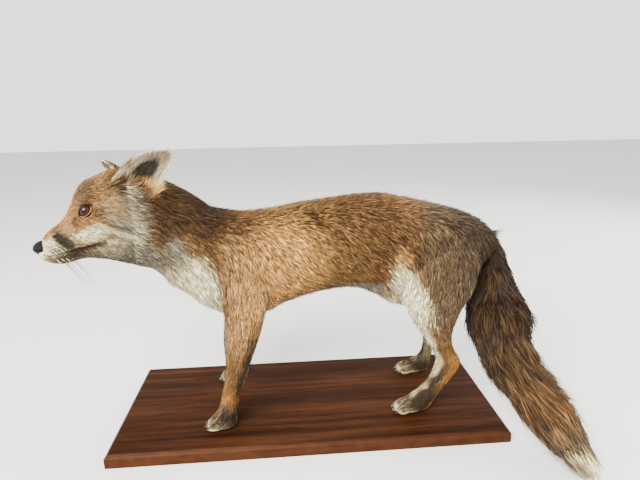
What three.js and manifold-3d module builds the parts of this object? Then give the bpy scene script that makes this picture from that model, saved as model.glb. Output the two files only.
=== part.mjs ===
// Mounted red fox on a wooden board, life size.
// Millimetres, +Z up. The origin is the centre of the board's underside. The fox faces -X, so its
// left side is -Y. Every outline is taken at the tips of the coat.
import * as THREE from 'three';
import { mergeVertices } from 'three/addons/utils/BufferGeometryUtils.js';
import Module from 'manifold-3d';

const wasm = await Module();
wasm.setup();

// ---------------------------------------------------------------- driving sizes
const BOARD_LENGTH = 550;
const BOARD_DEPTH = 227;
const BOARD_THICKNESS = 18;
const BOARD_CHAMFER = 4;
const GAP = 0.3;                 // between touching pieces
const SOLE = BOARD_THICKNESS + GAP;

const BODY_Y = 5;                // the trunk stands slightly behind the board's middle line
const HEAD_TURN = THREE.MathUtils.degToRad(20);
const BEND_START = -95;          // x where the neck starts to bend to the fox's left
const BEND_LENGTH = 110;

const BODY_SIDES = 22;
const LEG_SIDES = 12;
const TAIL_SIDES = 14;

// ---------------------------------------------------------------- palette
const FUR_BROWN = 0x8a6844;
const FUR_GREY = 0x7d6a58;
const FUR_TAN = 0xa4814f;
const FUR_CREAM = 0xcdbda2;
const FUR_RUST = 0x84562f;
const DARK = 0x1d1916;
const CLAW_HORN = 0x3a3029;
const EYE_GLASS = 0x4a1c10;
const STAINED_WOOD = 0x4d2a1d;

const material = (color, roughness = 0.9) =>
  new THREE.MeshStandardMaterial({ color, roughness, metalness: 0 });

// ---------------------------------------------------------------- solids
// Rings of points become one closed geometry: quads between rings and a fan over each end. Where
// a ring is the section of a shell, its outer wall's points come first, wall is their number, both
// walls' quads are split alike, and each end is a strip from wall to wall.
function skinRings(rings, wall = Infinity) {
  const sides = rings[0].length;
  const positions = rings.flat().flatMap((p) => [p.x, p.y, p.z]);
  const faces = [];
  for (let i = 0; i + 1 < rings.length; i += 1) {
    for (let j = 0; j < sides; j += 1) {
      const a = i * sides + j;
      const b = i * sides + ((j + 1) % sides);
      if (j < wall) {
        faces.push(a, a + sides, b + sides, a, b + sides, b);
      } else {
        faces.push(a, a + sides, b, b, a + sides, b + sides);
      }
    }
  }
  for (const [first, flip] of [[0, false], [(rings.length - 1) * sides, true]]) {
    for (let j = 0; wall < sides && j + 1 < wall; j += 1) {
      const quad = [j, j + 1, sides - 2 - j, sides - 1 - j].map((k) => first + k);
      const [a, b, c, d] = flip ? quad.reverse() : quad;
      faces.push(a, b, c, a, c, d);
    }
    if (wall < sides) {
      continue;
    }
    const middle = new THREE.Vector3();
    rings[first / sides].forEach((p) => middle.addScaledVector(p, 1 / sides));
    const centre = positions.length / 3;
    positions.push(middle.x, middle.y, middle.z);
    for (let j = 0; j < sides; j += 1) {
      const a = first + j;
      const b = first + ((j + 1) % sides);
      faces.push(centre, ...(flip ? [b, a] : [a, b]));
    }
  }
  const geometry = new THREE.BufferGeometry();
  geometry.setAttribute('position', new THREE.Float32BufferAttribute(positions, 3));
  geometry.setIndex(faces);
  return geometry;
}

// A closed geometry as a solid that can be cut; a solid wound inside out is turned.
function solid(geometry) {
  const bare = geometry.clone();
  bare.deleteAttribute('normal');
  bare.deleteAttribute('uv');
  const merged = mergeVertices(bare, 1e-4);
  const vertProperties = new Float32Array(merged.attributes.position.array);
  const triVerts = new Uint32Array(merged.index.array);
  const p = (k) => new THREE.Vector3().fromArray(vertProperties, 3 * triVerts[k]);
  let volume = 0;
  for (let k = 0; k < triVerts.length; k += 3) {
    volume += p(k).dot(p(k + 1).cross(p(k + 2)));
  }
  if (volume < 0) {
    for (let k = 0; k < triVerts.length; k += 3) {
      [triVerts[k + 1], triVerts[k + 2]] = [triVerts[k + 2], triVerts[k + 1]];
    }
  }
  return new wasm.Manifold(new wasm.Mesh({ numProp: 3, vertProperties, triVerts }));
}

// The largest body of a solid, so that no crumb of a cut is kept.
function largest(body) {
  const pieces = body.decompose();
  return pieces.reduce((best, piece) => (piece.volume() > best.volume() ? piece : best));
}

const group = new THREE.Group();
group.name = 'taxidermy_fox';

function addSolid(name, body, look) {
  const { vertProperties, triVerts, numProp } = largest(body).getMesh();
  const points = [];
  for (let k = 0; k < vertProperties.length; k += numProp) {
    points.push(vertProperties[k], vertProperties[k + 1], vertProperties[k + 2]);
  }
  const geometry = new THREE.BufferGeometry();
  geometry.setAttribute('position', new THREE.Float32BufferAttribute(points, 3));
  geometry.setIndex(Array.from(triVerts));
  geometry.computeVertexNormals();
  const mesh = new THREE.Mesh(geometry, look);
  mesh.name = name;
  group.add(mesh);
}

// ---------------------------------------------------------------- section lofts
// Smooth value between table rows (Catmull-Rom), at row position t.
function between(rows, key, t) {
  const i = Math.min(Math.floor(t), rows.length - 2);
  const f = t - i;
  const at = (k) => rows[THREE.MathUtils.clamp(k, 0, rows.length - 1)][key];
  const [p0, p1, p2, p3] = [at(i - 1), at(i), at(i + 1), at(i + 2)];
  const bend = 2 * p0 - 5 * p1 + 4 * p2 - p3 + (3 * p1 - p0 - 3 * p2 + p3) * f;
  return p1 + 0.5 * f * (p2 - p0 + f * bend);
}

// An oval section between two outline points. full is the superellipse power, and egg makes the
// section wider towards the first point (positive) or the second (negative).
function section(first, second, lateral, halfWidth, full, egg, sides, floor) {
  const centre = first.clone().add(second).multiplyScalar(0.5);
  const half = first.clone().sub(second).multiplyScalar(0.5);
  const ring = [];
  for (let j = 0; j < sides; j += 1) {
    const angle = (2 * Math.PI * (j + 0.5)) / sides;
    const bow = (v) => Math.sign(v) * Math.abs(v) ** (2 / full);
    const up = bow(Math.sin(angle));
    const across = bow(Math.cos(angle)) * halfWidth * (1 + egg * Math.sin(angle));
    const point = centre.clone().addScaledVector(half, up).addScaledVector(lateral, across);
    point.z = Math.max(point.z, floor);
    ring.push(point);
  }
  return ring;
}

// The plan of the backbone: straight through the trunk, bent through the neck, straight again
// along the turned head.
function planY(x) {
  const slope = Math.tan(HEAD_TURN);
  const bent = THREE.MathUtils.clamp(BEND_START - x, 0, BEND_LENGTH);
  const past = Math.max(BEND_START - BEND_LENGTH - x, 0);
  return BODY_Y - (slope * bent ** 2) / (2 * BEND_LENGTH) - slope * past;
}

function planSide(x) {
  const step = 1;
  const slope = (planY(x + step) - planY(x - step)) / (2 * step);
  return new THREE.Vector3(slope, -1, 0).normalize();
}

// A point beside the backbone's plan: out is measured towards the fox's left.
function besidePlan(x, out, z) {
  return new THREE.Vector3(x, planY(x), z).addScaledVector(planSide(x), out);
}

// ---------------------------------------------------------------- head, neck and trunk
// Rows from the muzzle to the rump: top outline (x, z), bottom outline (x, z), half width, egg and
// fullness of the section.
const BODY_ROWS = [
  [-338, 294, -337, 279, 7, 0, 2],
  [-333, 300, -333, 274, 12.5, -0.1, 2.1],
  [-321, 312, -325, 269, 16, -0.15, 2.2],
  [-311, 319, -314, 266, 19, -0.2, 2.2],
  [-304, 327, -304, 267, 23, -0.22, 2.25],
  [-297, 339, -294, 270, 28.5, -0.22, 2.3],
  [-290, 355, -283, 271, 35, -0.2, 2.4],
  [-279, 370, -272, 269, 42, -0.18, 2.5],
  [-262, 378, -258, 265, 48, -0.15, 2.55],
  [-243, 384, -243, 258, 51, -0.1, 2.5],
  [-222, 383, -228, 251, 52, -0.05, 2.4],
  [-200, 374, -213, 244, 51, 0, 2.3],
  [-178, 360, -200, 232, 50, 0, 2.25],
  [-152, 343, -187, 213, 52, 0, 2.2],
  [-130, 326, -165, 196, 56, 0, 2.2],
  [-105, 319, -140, 175, 60, 0, 2.2],
  [-75, 317, -105, 162, 62, 0.04, 2.2],
  [-40, 321, -65, 164, 62, 0.04, 2.2],
  [-5, 327, -28, 181, 61, 0.02, 2.2],
  [35, 332, 20, 194, 60, 0, 2.2],
  [75, 337, 68, 197, 58, 0, 2.2],
  [112, 337, 103, 184, 56, 0.02, 2.2],
  [150, 330, 130, 166, 55, 0.08, 2.2],
  [190, 320, 163, 164, 56, 0.12, 2.2],
  [228, 309, 200, 176, 53, 0.1, 2.2],
  [257, 295, 232, 200, 44, 0.05, 2.2],
  [277, 277, 256, 228, 30, 0, 2.2],
  [286, 262, 274, 246, 11, 0, 2.2],
];
const HEAD_END = 12;             // row positions where the body is parted
const NECK_END = 15;
const PART = 0.012;              // half of each parting, in rows

function bodyLoft(from, to, rings, grow = 0) {
  const list = [];
  for (let k = 0; k < rings; k += 1) {
    const t = from + ((to - from) * k) / (rings - 1);
    const row = [0, 1, 2, 3, 4, 5, 6].map((key) => between(BODY_ROWS, key, t));
    const [tx, tz, bx, bz, width, egg, full] = row;
    const top = new THREE.Vector3(tx, planY(tx), tz);
    const bottom = new THREE.Vector3(bx, planY(bx), bz);
    const reach = top.clone().sub(bottom).normalize().multiplyScalar(grow);
    const side = planSide((tx + bx) / 2);
    list.push(section(top.add(reach), bottom.sub(reach), side, width + grow, full, egg,
      BODY_SIDES, SOLE));
  }
  return solid(skinRings(list));
}

const lastBodyRow = BODY_ROWS.length - 1;
const HEAD_RINGS = 19;
const NECK_RINGS = 6;
const TRUNK_RINGS = 20;
const headLoft = bodyLoft(0, HEAD_END - PART, HEAD_RINGS);
const neck = bodyLoft(HEAD_END + PART, NECK_END - PART, NECK_RINGS);
const trunk = bodyLoft(NECK_END + PART, lastBodyRow, TRUNK_RINGS);
const headAround = bodyLoft(0, HEAD_END + PART, HEAD_RINGS, GAP);
const neckAround = bodyLoft(HEAD_END - PART, NECK_END + PART, NECK_RINGS, GAP);
const trunkAround = bodyLoft(NECK_END - PART, lastBodyRow, TRUNK_RINGS, GAP);

// ---------------------------------------------------------------- nose, jaw and eyes
function ellipsoid(centre, radii, turn, columns = 12, rows = 8) {
  const geometry = new THREE.SphereGeometry(1, columns, rows);
  const place = new THREE.Matrix4().compose(
    centre,
    new THREE.Quaternion().setFromEuler(new THREE.Euler(0, turn.pitch ?? 0, turn.yaw ?? 0, 'ZYX')),
    radii,
  );
  return solid(geometry.applyMatrix4(place));
}

const NOSE_X = -336;
const NOSE_Z = 288.3;
const NOSE_RADII = [7.6, 8.8, 9];
const NOSE_PITCH = THREE.MathUtils.degToRad(12);
const nosePad = (grow) => ellipsoid(
  besidePlan(NOSE_X, 0, NOSE_Z),
  new THREE.Vector3(...NOSE_RADII).addScalar(grow),
  { yaw: HEAD_TURN, pitch: NOSE_PITCH },
);

const EYE_X = -277;
const EYE_Z = 336.5;
const EYE_OUT = 30.5;
const EYE_RADIUS = 9;
const eyeball = (side, grow) => ellipsoid(
  besidePlan(EYE_X, side * EYE_OUT, EYE_Z),
  new THREE.Vector3().addScalar(EYE_RADIUS + grow),
  {},
);

// The lower jaw is what lies under the mouth line, forward of the jaw's angle.
const MOUTH_LINE = [[-350, 276], [-320, 278.5], [-297, 286], [-272, 291.5], [-258, 296]];
const JAW_ANGLE = [-243, 240];
function underMouth(grow) {
  const shape = new THREE.Shape();
  shape.moveTo(MOUTH_LINE[0][0], JAW_ANGLE[1]);
  MOUTH_LINE.forEach(([x, z]) => shape.lineTo(x + grow, z + grow));
  shape.lineTo(JAW_ANGLE[0] + grow, JAW_ANGLE[1]);
  const reach = 240;
  const slab = new THREE.ExtrudeGeometry(shape, { depth: reach, bevelEnabled: false });
  slab.rotateX(Math.PI / 2).translate(0, reach / 2 - 50, 0);
  return solid(slab);
}

let skull = headLoft.subtract(nosePad(GAP));
for (const side of [1, -1]) {
  skull = skull.subtract(eyeball(side, GAP));
}
const jaw = skull.intersect(underMouth(0));

addSolid('head', skull.subtract(underMouth(GAP)), material(FUR_BROWN));
addSolid('lower_jaw', jaw, material(FUR_CREAM));
addSolid('nose', nosePad(0), material(DARK, 0.35));
addSolid('eye_left', eyeball(1, 0), material(EYE_GLASS, 0.05));
addSolid('eye_right', eyeball(-1, 0), material(EYE_GLASS, 0.05));
addSolid('neck', neck, material(FUR_CREAM));
addSolid('trunk', trunk, material(FUR_BROWN));

// ---------------------------------------------------------------- ears
// A leaf-shaped cup: its half width falls to a rounded tip, and its section is a shallow arc.
const EAR_HALF_WIDTH = 22;
const EAR_CUP = 13;
const EAR_BOW = 8;               // the middle of the ear bows forward by this
const EAR_SKEW = 0.4;            // the front rim starts lower by this part of the length
const EAR_ARC = THREE.MathUtils.degToRad(68);
const EAR_THICKNESS = 4.5;
const EAR_EDGE = 0.6;            // part of the thickness that is left at the rims
const EAR_ROOT = 0.1;            // length buried in the head, before it is cut to it
const EAR_RINGS = 10;
const EAR_STEPS = 6;

function ear(root, tip, facing) {
  const axis = tip.clone().sub(root);
  const along = axis.clone().normalize();
  const open = facing.clone().addScaledVector(along, -facing.dot(along)).normalize();
  const across = along.clone().cross(open);
  const ahead = across.x > 0 ? -1 : 1;
  const rings = [];
  for (let k = 0; k < EAR_RINGS; k += 1) {
    const h = -EAR_ROOT + ((1 + EAR_ROOT) * k) / (EAR_RINGS - 1);
    const up = Math.min(Math.max(h, 0), 0.985);
    const halfWidth = EAR_HALF_WIDTH * (1 - up ** 2.6) ** 0.65;
    const cup = EAR_CUP * (1 - up ** 1.3) + 1;
    const bow = ahead * EAR_BOW * Math.sin(Math.PI * up);
    const base = root.clone().addScaledVector(axis, h).addScaledVector(across, bow);
    const arcPoint = (c, wall) => {
      const lift = -ahead * c * EAR_SKEW * (1 - up);
      const wide = (halfWidth * Math.sin(c * EAR_ARC)) / Math.sin(EAR_ARC);
      const deep = (cup * (Math.cos(c * EAR_ARC) - Math.cos(EAR_ARC))) / (1 - Math.cos(EAR_ARC));
      const thin = EAR_THICKNESS * (1 - 0.5 * up) * (1 - (1 - EAR_EDGE) * c * c);
      return base.clone().addScaledVector(across, wide).addScaledVector(axis, lift)
        .addScaledVector(open, wall * 0.5 * thin - deep);
    };
    const ring = [];
    for (let j = 0; j <= EAR_STEPS; j += 1) {
      ring.push(arcPoint(-1 + (2 * j) / EAR_STEPS, -1));
    }
    for (let j = EAR_STEPS; j >= 0; j -= 1) {
      ring.push(arcPoint(-1 + (2 * j) / EAR_STEPS, 1));
    }
    rings.push(ring);
  }
  return solid(skinRings(rings, EAR_STEPS + 1)).subtract(headAround).subtract(neckAround);
}

addSolid('ear_left', ear(
  besidePlan(-230, 46, 354),
  besidePlan(-181, 56, 404),
  new THREE.Vector3(-0.02, -1, 0.1),
), material(FUR_CREAM));
addSolid('ear_right', ear(
  besidePlan(-232, -38, 352),
  besidePlan(-256, -86, 382),
  new THREE.Vector3(-1, -0.3, -0.3),
), material(FUR_CREAM));

// ---------------------------------------------------------------- legs
// Rows down the leg: front outline (x, z), rear outline (x, z), distance out from the body's
// middle plane, half width. The last rows turn round into the paw.
const FORELEG_LEFT = [
  [-112, 272, -66, 276, 30, 16],
  [-124, 226, -50, 230, 41, 22],
  [-118, 190, -55, 192, 51, 22.5],
  [-112, 163, -64, 160, 58, 19.5],
  [-112, 138, -73, 135, 62, 17.5],
  [-115, 114, -81, 112, 65, 15.5],
  [-119, 93, -89, 92, 67, 13.5],
  [-124, 72, -97, 72, 67.5, 12.5],
  [-128, 54, -102, 50, 67.5, 13],
  [-133, 43, -105, 34, 67.5, 14.5],
  [-139, 36, -107, 22, 67.5, 16],
  [-144, 30, -124, SOLE, 67.5, 15],
  [-146, 24, -140, SOLE, 67.5, 10],
];
const FORELEG_RIGHT = [
  [-118, 272, -70, 276, 30, 16],
  [-133, 226, -57, 230, 41, 22],
  [-131, 190, -67, 192, 50, 22.5],
  [-130, 163, -80, 160, 55, 19.5],
  [-131, 138, -90, 135, 58, 17.5],
  [-134, 114, -99, 112, 60, 15.5],
  [-136, 93, -105, 92, 61, 13.5],
  [-136, 72, -109, 72, 61, 12.5],
  [-135, 54, -108, 50, 61, 13],
  [-136, 43, -107, 34, 61, 14.5],
  [-138, 36, -106, 22, 61, 16],
  [-140, 30, -120, SOLE, 61, 15],
  [-141, 24, -135, SOLE, 61, 10],
];
const HINDLEG_LEFT = [
  [160, 290, 232, 286, 18, 22],
  [142, 242, 250, 246, 33, 30],
  [135, 200, 240, 208, 44, 29],
  [141, 173, 221, 178, 49, 26],
  [154, 151, 209, 150, 52, 21],
  [167, 132, 206, 130, 54, 17],
  [177, 114, 211, 113, 55, 14],
  [183, 99, 221, 96, 55, 12.5],
  [181, 85, 217, 80, 55, 11.5],
  [173, 68, 202, 60, 55, 11],
  [160, 52, 187, 40, 55, 12],
  [147, 42, 176, 23, 55, 14],
  [136, 34, 158, SOLE, 55, 15.5],
  [128, 28, 142, SOLE, 55, 13],
  [126, 23, 131, SOLE, 55, 9],
];
const HINDLEG_RIGHT = [
  [162, 290, 234, 286, 18, 22],
  [146, 242, 252, 246, 33, 30],
  [140, 200, 243, 208, 44, 29],
  [148, 173, 225, 178, 48, 26],
  [163, 151, 215, 150, 50, 21],
  [177, 132, 213, 130, 52, 17],
  [188, 114, 219, 113, 53, 14],
  [194, 99, 228, 96, 54, 12.5],
  [196, 85, 224, 80, 55, 11.5],
  [197, 68, 215, 60, 55, 10.5],
  [193, 50, 212, 38, 55, 12],
  [181, 40, 207, 22, 55, 14],
  [168, 33, 188, SOLE, 55, 15.5],
  [159, 28, 172, SOLE, 55, 13],
  [155, 23, 160, SOLE, 55, 9],
];
const LEG_FULL = 2.2;
const TOE_SPREAD = [-11.5, -4, 4, 11.5];
const TOE_LENGTHS = [-4, 0, 0, -4];
const TOE_RADII = [11.5, 4.9, 6.2];
const TOE_DROP = THREE.MathUtils.degToRad(14);
const CLAW_LENGTH = 6.5;
const CLAW_RADIUS = 1.6;
const TOE_SETBACK = 8;           // from the last row of the leg back to the middle of a toe
const CLAW_SETBACK = 0;          // from that row to the root of a claw

function legLoft(rows, side, from, to, rings, grow = 0) {
  const list = [];
  for (let k = 0; k < rings; k += 1) {
    const t = from + ((to - from) * k) / (rings - 1);
    const [fx, fz, rx, rz, out, width] = [0, 1, 2, 3, 4, 5].map((key) => between(rows, key, t));
    const y = BODY_Y - side * out;
    const front = new THREE.Vector3(fx, y, fz);
    const rear = new THREE.Vector3(rx, y, rz);
    const reach = front.clone().sub(rear).normalize().multiplyScalar(grow);
    list.push(section(front.add(reach), rear.sub(reach), new THREE.Vector3(0, 1, 0),
      width + grow, LEG_FULL, 0, LEG_SIDES, SOLE));
  }
  return solid(skinRings(list));
}

// Four toes and their claws in front of the last row of the leg.
function toe(rows, side, digit, grow) {
  const [fx, , , , out] = rows[rows.length - 1];
  const centre = new THREE.Vector3(
    fx - TOE_LENGTHS[digit] + TOE_SETBACK,
    BODY_Y - side * out + TOE_SPREAD[digit],
    SOLE + TOE_RADII[2] - 0.3,
  );
  const radii = new THREE.Vector3(...TOE_RADII).addScalar(grow);
  const shape = ellipsoid(centre, radii, { pitch: -TOE_DROP }, 7, 5);
  const slab = new THREE.BoxGeometry(80, 80, 40).translate(centre.x, centre.y, SOLE - 20);
  return shape.subtract(solid(slab));
}

function claw(rows, side, digit) {
  const [fx, , , , out] = rows[rows.length - 1];
  const y = BODY_Y - side * out + TOE_SPREAD[digit];
  const x = fx - TOE_LENGTHS[digit] + CLAW_SETBACK;
  const rings = [];
  for (let k = 0; k < CLAW_RINGS; k += 1) {
    const h = k / (CLAW_RINGS - 1);
    const radius = CLAW_RADIUS * (1 - 0.8 * h);
    const centre = new THREE.Vector3(x - CLAW_LENGTH * h, y, SOLE + 5.2 - 3.6 * h * h);
    const ring = [];
    for (let j = 0; j < CLAW_SIDES; j += 1) {
      const angle = (2 * Math.PI * j) / CLAW_SIDES;
      ring.push(centre.clone().add(
        new THREE.Vector3(0, radius * 0.75 * Math.cos(angle), radius * Math.sin(angle)),
      ));
    }
    rings.push(ring);
  }
  return solid(skinRings(rings));
}

const CLAW_RINGS = 3;
const CLAW_SIDES = 5;
const LEG_RINGS = { upper: 8, lower: 6, paw: 7 };
const thighsAround = [];

function addLeg(name, rows, side, parts, looks) {
  const last = rows.length - 1;
  const [upperName, lowerName] = parts.names;
  const [knee, wrist] = parts.rows;
  const upper = legLoft(rows, side, 0, knee - PART, LEG_RINGS.upper);
  const upperAround = legLoft(rows, side, 0, knee, LEG_RINGS.upper, GAP);
  thighsAround.push(upperAround);
  addSolid(`${name}_${upperName}`, upper.subtract(trunkAround).subtract(neckAround), looks[0]);
  addSolid(`${name}_${lowerName}`,
    legLoft(rows, side, knee + PART, wrist - PART, LEG_RINGS.lower), looks[1]);
  let paw = legLoft(rows, side, wrist + PART, last, LEG_RINGS.paw);
  let pawAround = legLoft(rows, side, wrist + PART, last, LEG_RINGS.paw, GAP);
  for (let digit = 0; digit < TOE_SPREAD.length; digit += 1) {
    paw = paw.add(toe(rows, side, digit, 0));
    pawAround = pawAround.add(toe(rows, side, digit, GAP));
  }
  addSolid(`${name}_paw`, paw, looks[2]);
  for (let digit = 0; digit < TOE_SPREAD.length; digit += 1) {
    addSolid(`${name}_claw_${digit + 1}`, claw(rows, side, digit).subtract(pawAround),
      material(CLAW_HORN, 0.4));
  }
}

const FORE_PARTS = { names: ['upper', 'lower'], rows: [3.5, 8] };
const HIND_PARTS = { names: ['thigh', 'shank'], rows: [4.5, 10] };
const foreLooks = [FUR_TAN, FUR_TAN, FUR_CREAM].map((color) => material(color));
const hindLooks = [FUR_GREY, FUR_TAN, FUR_CREAM].map((color) => material(color));
addLeg('foreleg_left', FORELEG_LEFT, 1, FORE_PARTS, foreLooks);
addLeg('foreleg_right', FORELEG_RIGHT, -1, FORE_PARTS, foreLooks);
addLeg('hindleg_left', HINDLEG_LEFT, 1, HIND_PARTS, hindLooks);
addLeg('hindleg_right', HINDLEG_RIGHT, -1, HIND_PARTS, hindLooks);

// ---------------------------------------------------------------- tail
// Rows from the root to the tip: centre (x, y, z) and radius. The brush drops behind the rump
// and swings to the fox's left, past the end of the board.
const TAIL_ROWS = [
  [264, 7, 266, 19],
  [274, 4, 244, 22],
  [281, 0, 216, 27],
  [282, -8, 190, 36],
  [280, -22, 168, 45],
  [279, -38, 148, 48],
  [279, -57, 126, 43],
  [284, -77, 103, 38.5],
  [297, -98, 80, 35],
  [310, -121, 61, 34],
  [319, -143, 46, 30],
  [326, -161, 34, 24],
  [332, -175, 24, 18],
  [337, -184, 15, 11],
  [341, -189, 8, 4],
];
const TAIL_PARTS = [4, 9];

function tailLoft(from, to, rings) {
  const list = [];
  const at = (t) => new THREE.Vector3(...[0, 1, 2].map((key) => between(TAIL_ROWS, key, t)));
  for (let k = 0; k < rings; k += 1) {
    const t = from + ((to - from) * k) / (rings - 1);
    const step = 0.02;
    const ahead = Math.min(t + step, TAIL_ROWS.length - 1);
    const along = at(ahead).sub(at(ahead - 2 * step)).normalize();
    const wide = new THREE.Vector3(1, 0, 0);
    wide.addScaledVector(along, -wide.dot(along)).normalize();
    const deep = along.clone().cross(wide);
    const radius = between(TAIL_ROWS, 3, t);
    const centre = at(t);
    list.push(section(centre.clone().addScaledVector(deep, radius),
      centre.clone().addScaledVector(deep, -radius), wide, radius, 2, 0, TAIL_SIDES, 1));
  }
  return solid(skinRings(list));
}

let tailRoot = tailLoft(0, TAIL_PARTS[0] - PART, 7).subtract(trunkAround);
thighsAround.forEach((thigh) => {
  tailRoot = tailRoot.subtract(thigh);
});
addSolid('tail_root', tailRoot, material(FUR_RUST));
addSolid('tail_middle', tailLoft(TAIL_PARTS[0] + PART, TAIL_PARTS[1] - PART, 8),
  material(FUR_RUST));
addSolid('tail_tip', tailLoft(TAIL_PARTS[1] + PART, TAIL_ROWS.length - 1, 8),
  material(FUR_CREAM));

// ---------------------------------------------------------------- board
function boardRing(inset, z) {
  const x = BOARD_LENGTH / 2 - inset;
  const y = BOARD_DEPTH / 2 - inset;
  return [[x, y], [-x, y], [-x, -y], [x, -y]].map(([px, py]) => new THREE.Vector3(px, py, z));
}
addSolid('board', solid(skinRings([
  boardRing(0, 0),
  boardRing(0, BOARD_THICKNESS - BOARD_CHAMFER),
  boardRing(BOARD_CHAMFER, BOARD_THICKNESS),
])), material(STAINED_WOOD, 0.45));

export default group;
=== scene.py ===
# %% [markdown]
# A red fox mounted on a stained board, dressed for a museum case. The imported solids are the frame:
# they give every outline, out to the tips of the coat. Over them goes one skin, a coat of separate
# tufts, glass eyes, a nose pad, claws and whiskers. Metres, +Z up; the fox faces -X.

import bmesh
import bpy
import numpy as np
from mathutils import Matrix, Vector


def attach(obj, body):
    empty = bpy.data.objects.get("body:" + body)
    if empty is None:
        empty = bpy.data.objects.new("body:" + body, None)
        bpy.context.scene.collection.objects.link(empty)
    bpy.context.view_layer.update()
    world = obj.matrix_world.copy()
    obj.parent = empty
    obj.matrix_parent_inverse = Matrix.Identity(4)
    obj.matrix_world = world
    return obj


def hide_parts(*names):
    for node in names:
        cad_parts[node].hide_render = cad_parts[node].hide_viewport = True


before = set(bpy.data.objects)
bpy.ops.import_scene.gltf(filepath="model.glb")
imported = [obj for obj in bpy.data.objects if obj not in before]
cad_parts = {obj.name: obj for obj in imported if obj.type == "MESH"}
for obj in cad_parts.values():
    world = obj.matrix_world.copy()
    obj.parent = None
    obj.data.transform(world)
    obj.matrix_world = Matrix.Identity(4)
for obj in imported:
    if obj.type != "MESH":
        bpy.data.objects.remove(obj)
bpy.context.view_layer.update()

MM = 0.001

# %% [markdown]
# The viewer stands close to the fox and a little above it, so the near flank looks large and the
# board's top shows. A camera needs a place and three turns: yaw, pitch and roll. The lens follows
# from the width of what is seen; a short lens gives the strong perspective of a near stand.

# %% Camera
CAMERA_PLACE = np.array([-0.027, -0.667, 0.4487])
YAW, PITCH, ROLL = np.radians([4.18, 14.91, -0.95])
SENSOR_WIDTH = 36.0
LENS = 27.06


def camera_axes():
    """Right, up and forward of a camera that is turned by yaw, dipped by pitch, then rolled."""
    forward = np.array([np.sin(YAW) * np.cos(PITCH), np.cos(YAW) * np.cos(PITCH), -np.sin(PITCH)])
    level = np.array([np.cos(YAW), -np.sin(YAW), 0.0])
    upright = np.cross(level, forward)
    right = np.cos(ROLL) * level + np.sin(ROLL) * upright
    up = -np.sin(ROLL) * level + np.cos(ROLL) * upright
    return right, up, forward


def add_object(name, data):
    thing = bpy.data.objects.new(name, data)
    bpy.context.scene.collection.objects.link(thing)
    return thing


def add_camera():
    right, up, forward = camera_axes()
    lens = bpy.data.cameras.new("viewer")
    lens.sensor_width = SENSOR_WIDTH
    lens.lens = LENS
    lens.clip_start = 0.01
    viewer = add_object("viewer", lens)
    turn = np.column_stack([right, up, -forward])
    viewer.matrix_world = Matrix.Translation(CAMERA_PLACE) @ Matrix(turn.tolist()).to_4x4()
    bpy.context.scene.camera = viewer


add_camera()
print("lens", LENS, "mm at", CAMERA_PLACE)

# %% [markdown]
# Fur reads best in broad soft light, which fills the gaps between the hairs and still leaves a
# shaded side. A pale floor and an even pale surround stand for a bright room; one large area light
# high on the left is the window, and a weaker one on the right opens the shadows.

# %% Floor and light
FLOOR_HALF = 6.0
LIGHT_AIM = Vector((0.0, 0.0, 0.2))
LAMP_SIZE = 1.4
LAMP_TINT = (1.0, 0.975, 0.94)


def node_material(name):
    """A material with its node tree and its shader."""
    look = bpy.data.materials.new(name)
    look.use_nodes = True
    return look, look.node_tree, look.node_tree.nodes["Principled BSDF"]


def set_socket(tree, socket, value):
    """Links a socket to another node's socket, or gives it a plain value."""
    if isinstance(value, bpy.types.NodeSocket):
        tree.links.new(value, socket)
    else:
        socket.default_value = value


def set_sockets(tree, node, **values):
    for key, value in values.items():
        set_socket(tree, node.inputs[key.replace("_", " ")], value)


def add_node(tree, kind, *first, **values):
    """A node of one kind; values go to its settings or sockets by name, or to its first sockets."""
    node = tree.nodes.new("ShaderNode" + kind)
    for key, value in values.items():
        if hasattr(node, key):
            setattr(node, key, value)
        else:
            set_sockets(tree, node, **{key: value})
    for socket, value in zip(node.inputs, first):
        set_socket(tree, socket, value)
    return node


def object_place(tree):
    return add_node(tree, "TexCoord").outputs["Object"]


def noise(tree, place, **values):
    return add_node(tree, "TexNoise", **values, Vector=place).outputs["Fac"]


def remap(tree, value, low, high, start=0.0, end=1.0):
    """Stretches start..end of a value over low..high."""
    node = add_node(tree, "MapRange", Value=value, From_Min=start, From_Max=end, To_Min=low, To_Max=high)
    return node.outputs["Result"]


def colour_ramp(tree, value, *stops):
    """Colours for a value, straight between (value, colour) stops."""
    node = add_node(tree, "ValToRGB", Fac=value)
    elements = node.color_ramp.elements
    for element, (place, colour) in zip(elements[:], (stops[0], stops[-1])):
        element.position = place
        element.color = (*colour, 1)
    for place, colour in stops[1:-1]:
        elements.new(place).color = (*colour, 1)
    return node.outputs["Color"]


def add_floor():
    corners = FLOOR_HALF * np.array([[-1, -1, 0], [1, -1, 0], [1, 1, 0], [-1, 1, 0]], float)
    mesh = bpy.data.meshes.new("floor")
    mesh.from_pydata(corners.tolist(), [], [(0, 1, 2, 3)])
    look, tree, shader = node_material("pale_floor")
    specks = noise(tree, object_place(tree), Scale=3.0, Detail=3.0)
    tone = colour_ramp(tree, specks, (0, (0.50, 0.50, 0.49)), (1, (0.56, 0.56, 0.55)))
    set_sockets(tree, shader, Base_Color=tone, Roughness=0.9)
    mesh.materials.append(look)
    add_object("floor", mesh)


def add_light(name, place, watts):
    lamp = bpy.data.lights.new(name, "AREA")
    lamp.size = LAMP_SIZE
    lamp.energy = watts
    lamp.color = LAMP_TINT
    aim = LIGHT_AIM - Vector(place)
    turn = aim.to_track_quat("-Z", "Y").to_matrix().to_4x4()
    add_object(name, lamp).matrix_world = Matrix.Translation(place) @ turn


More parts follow.
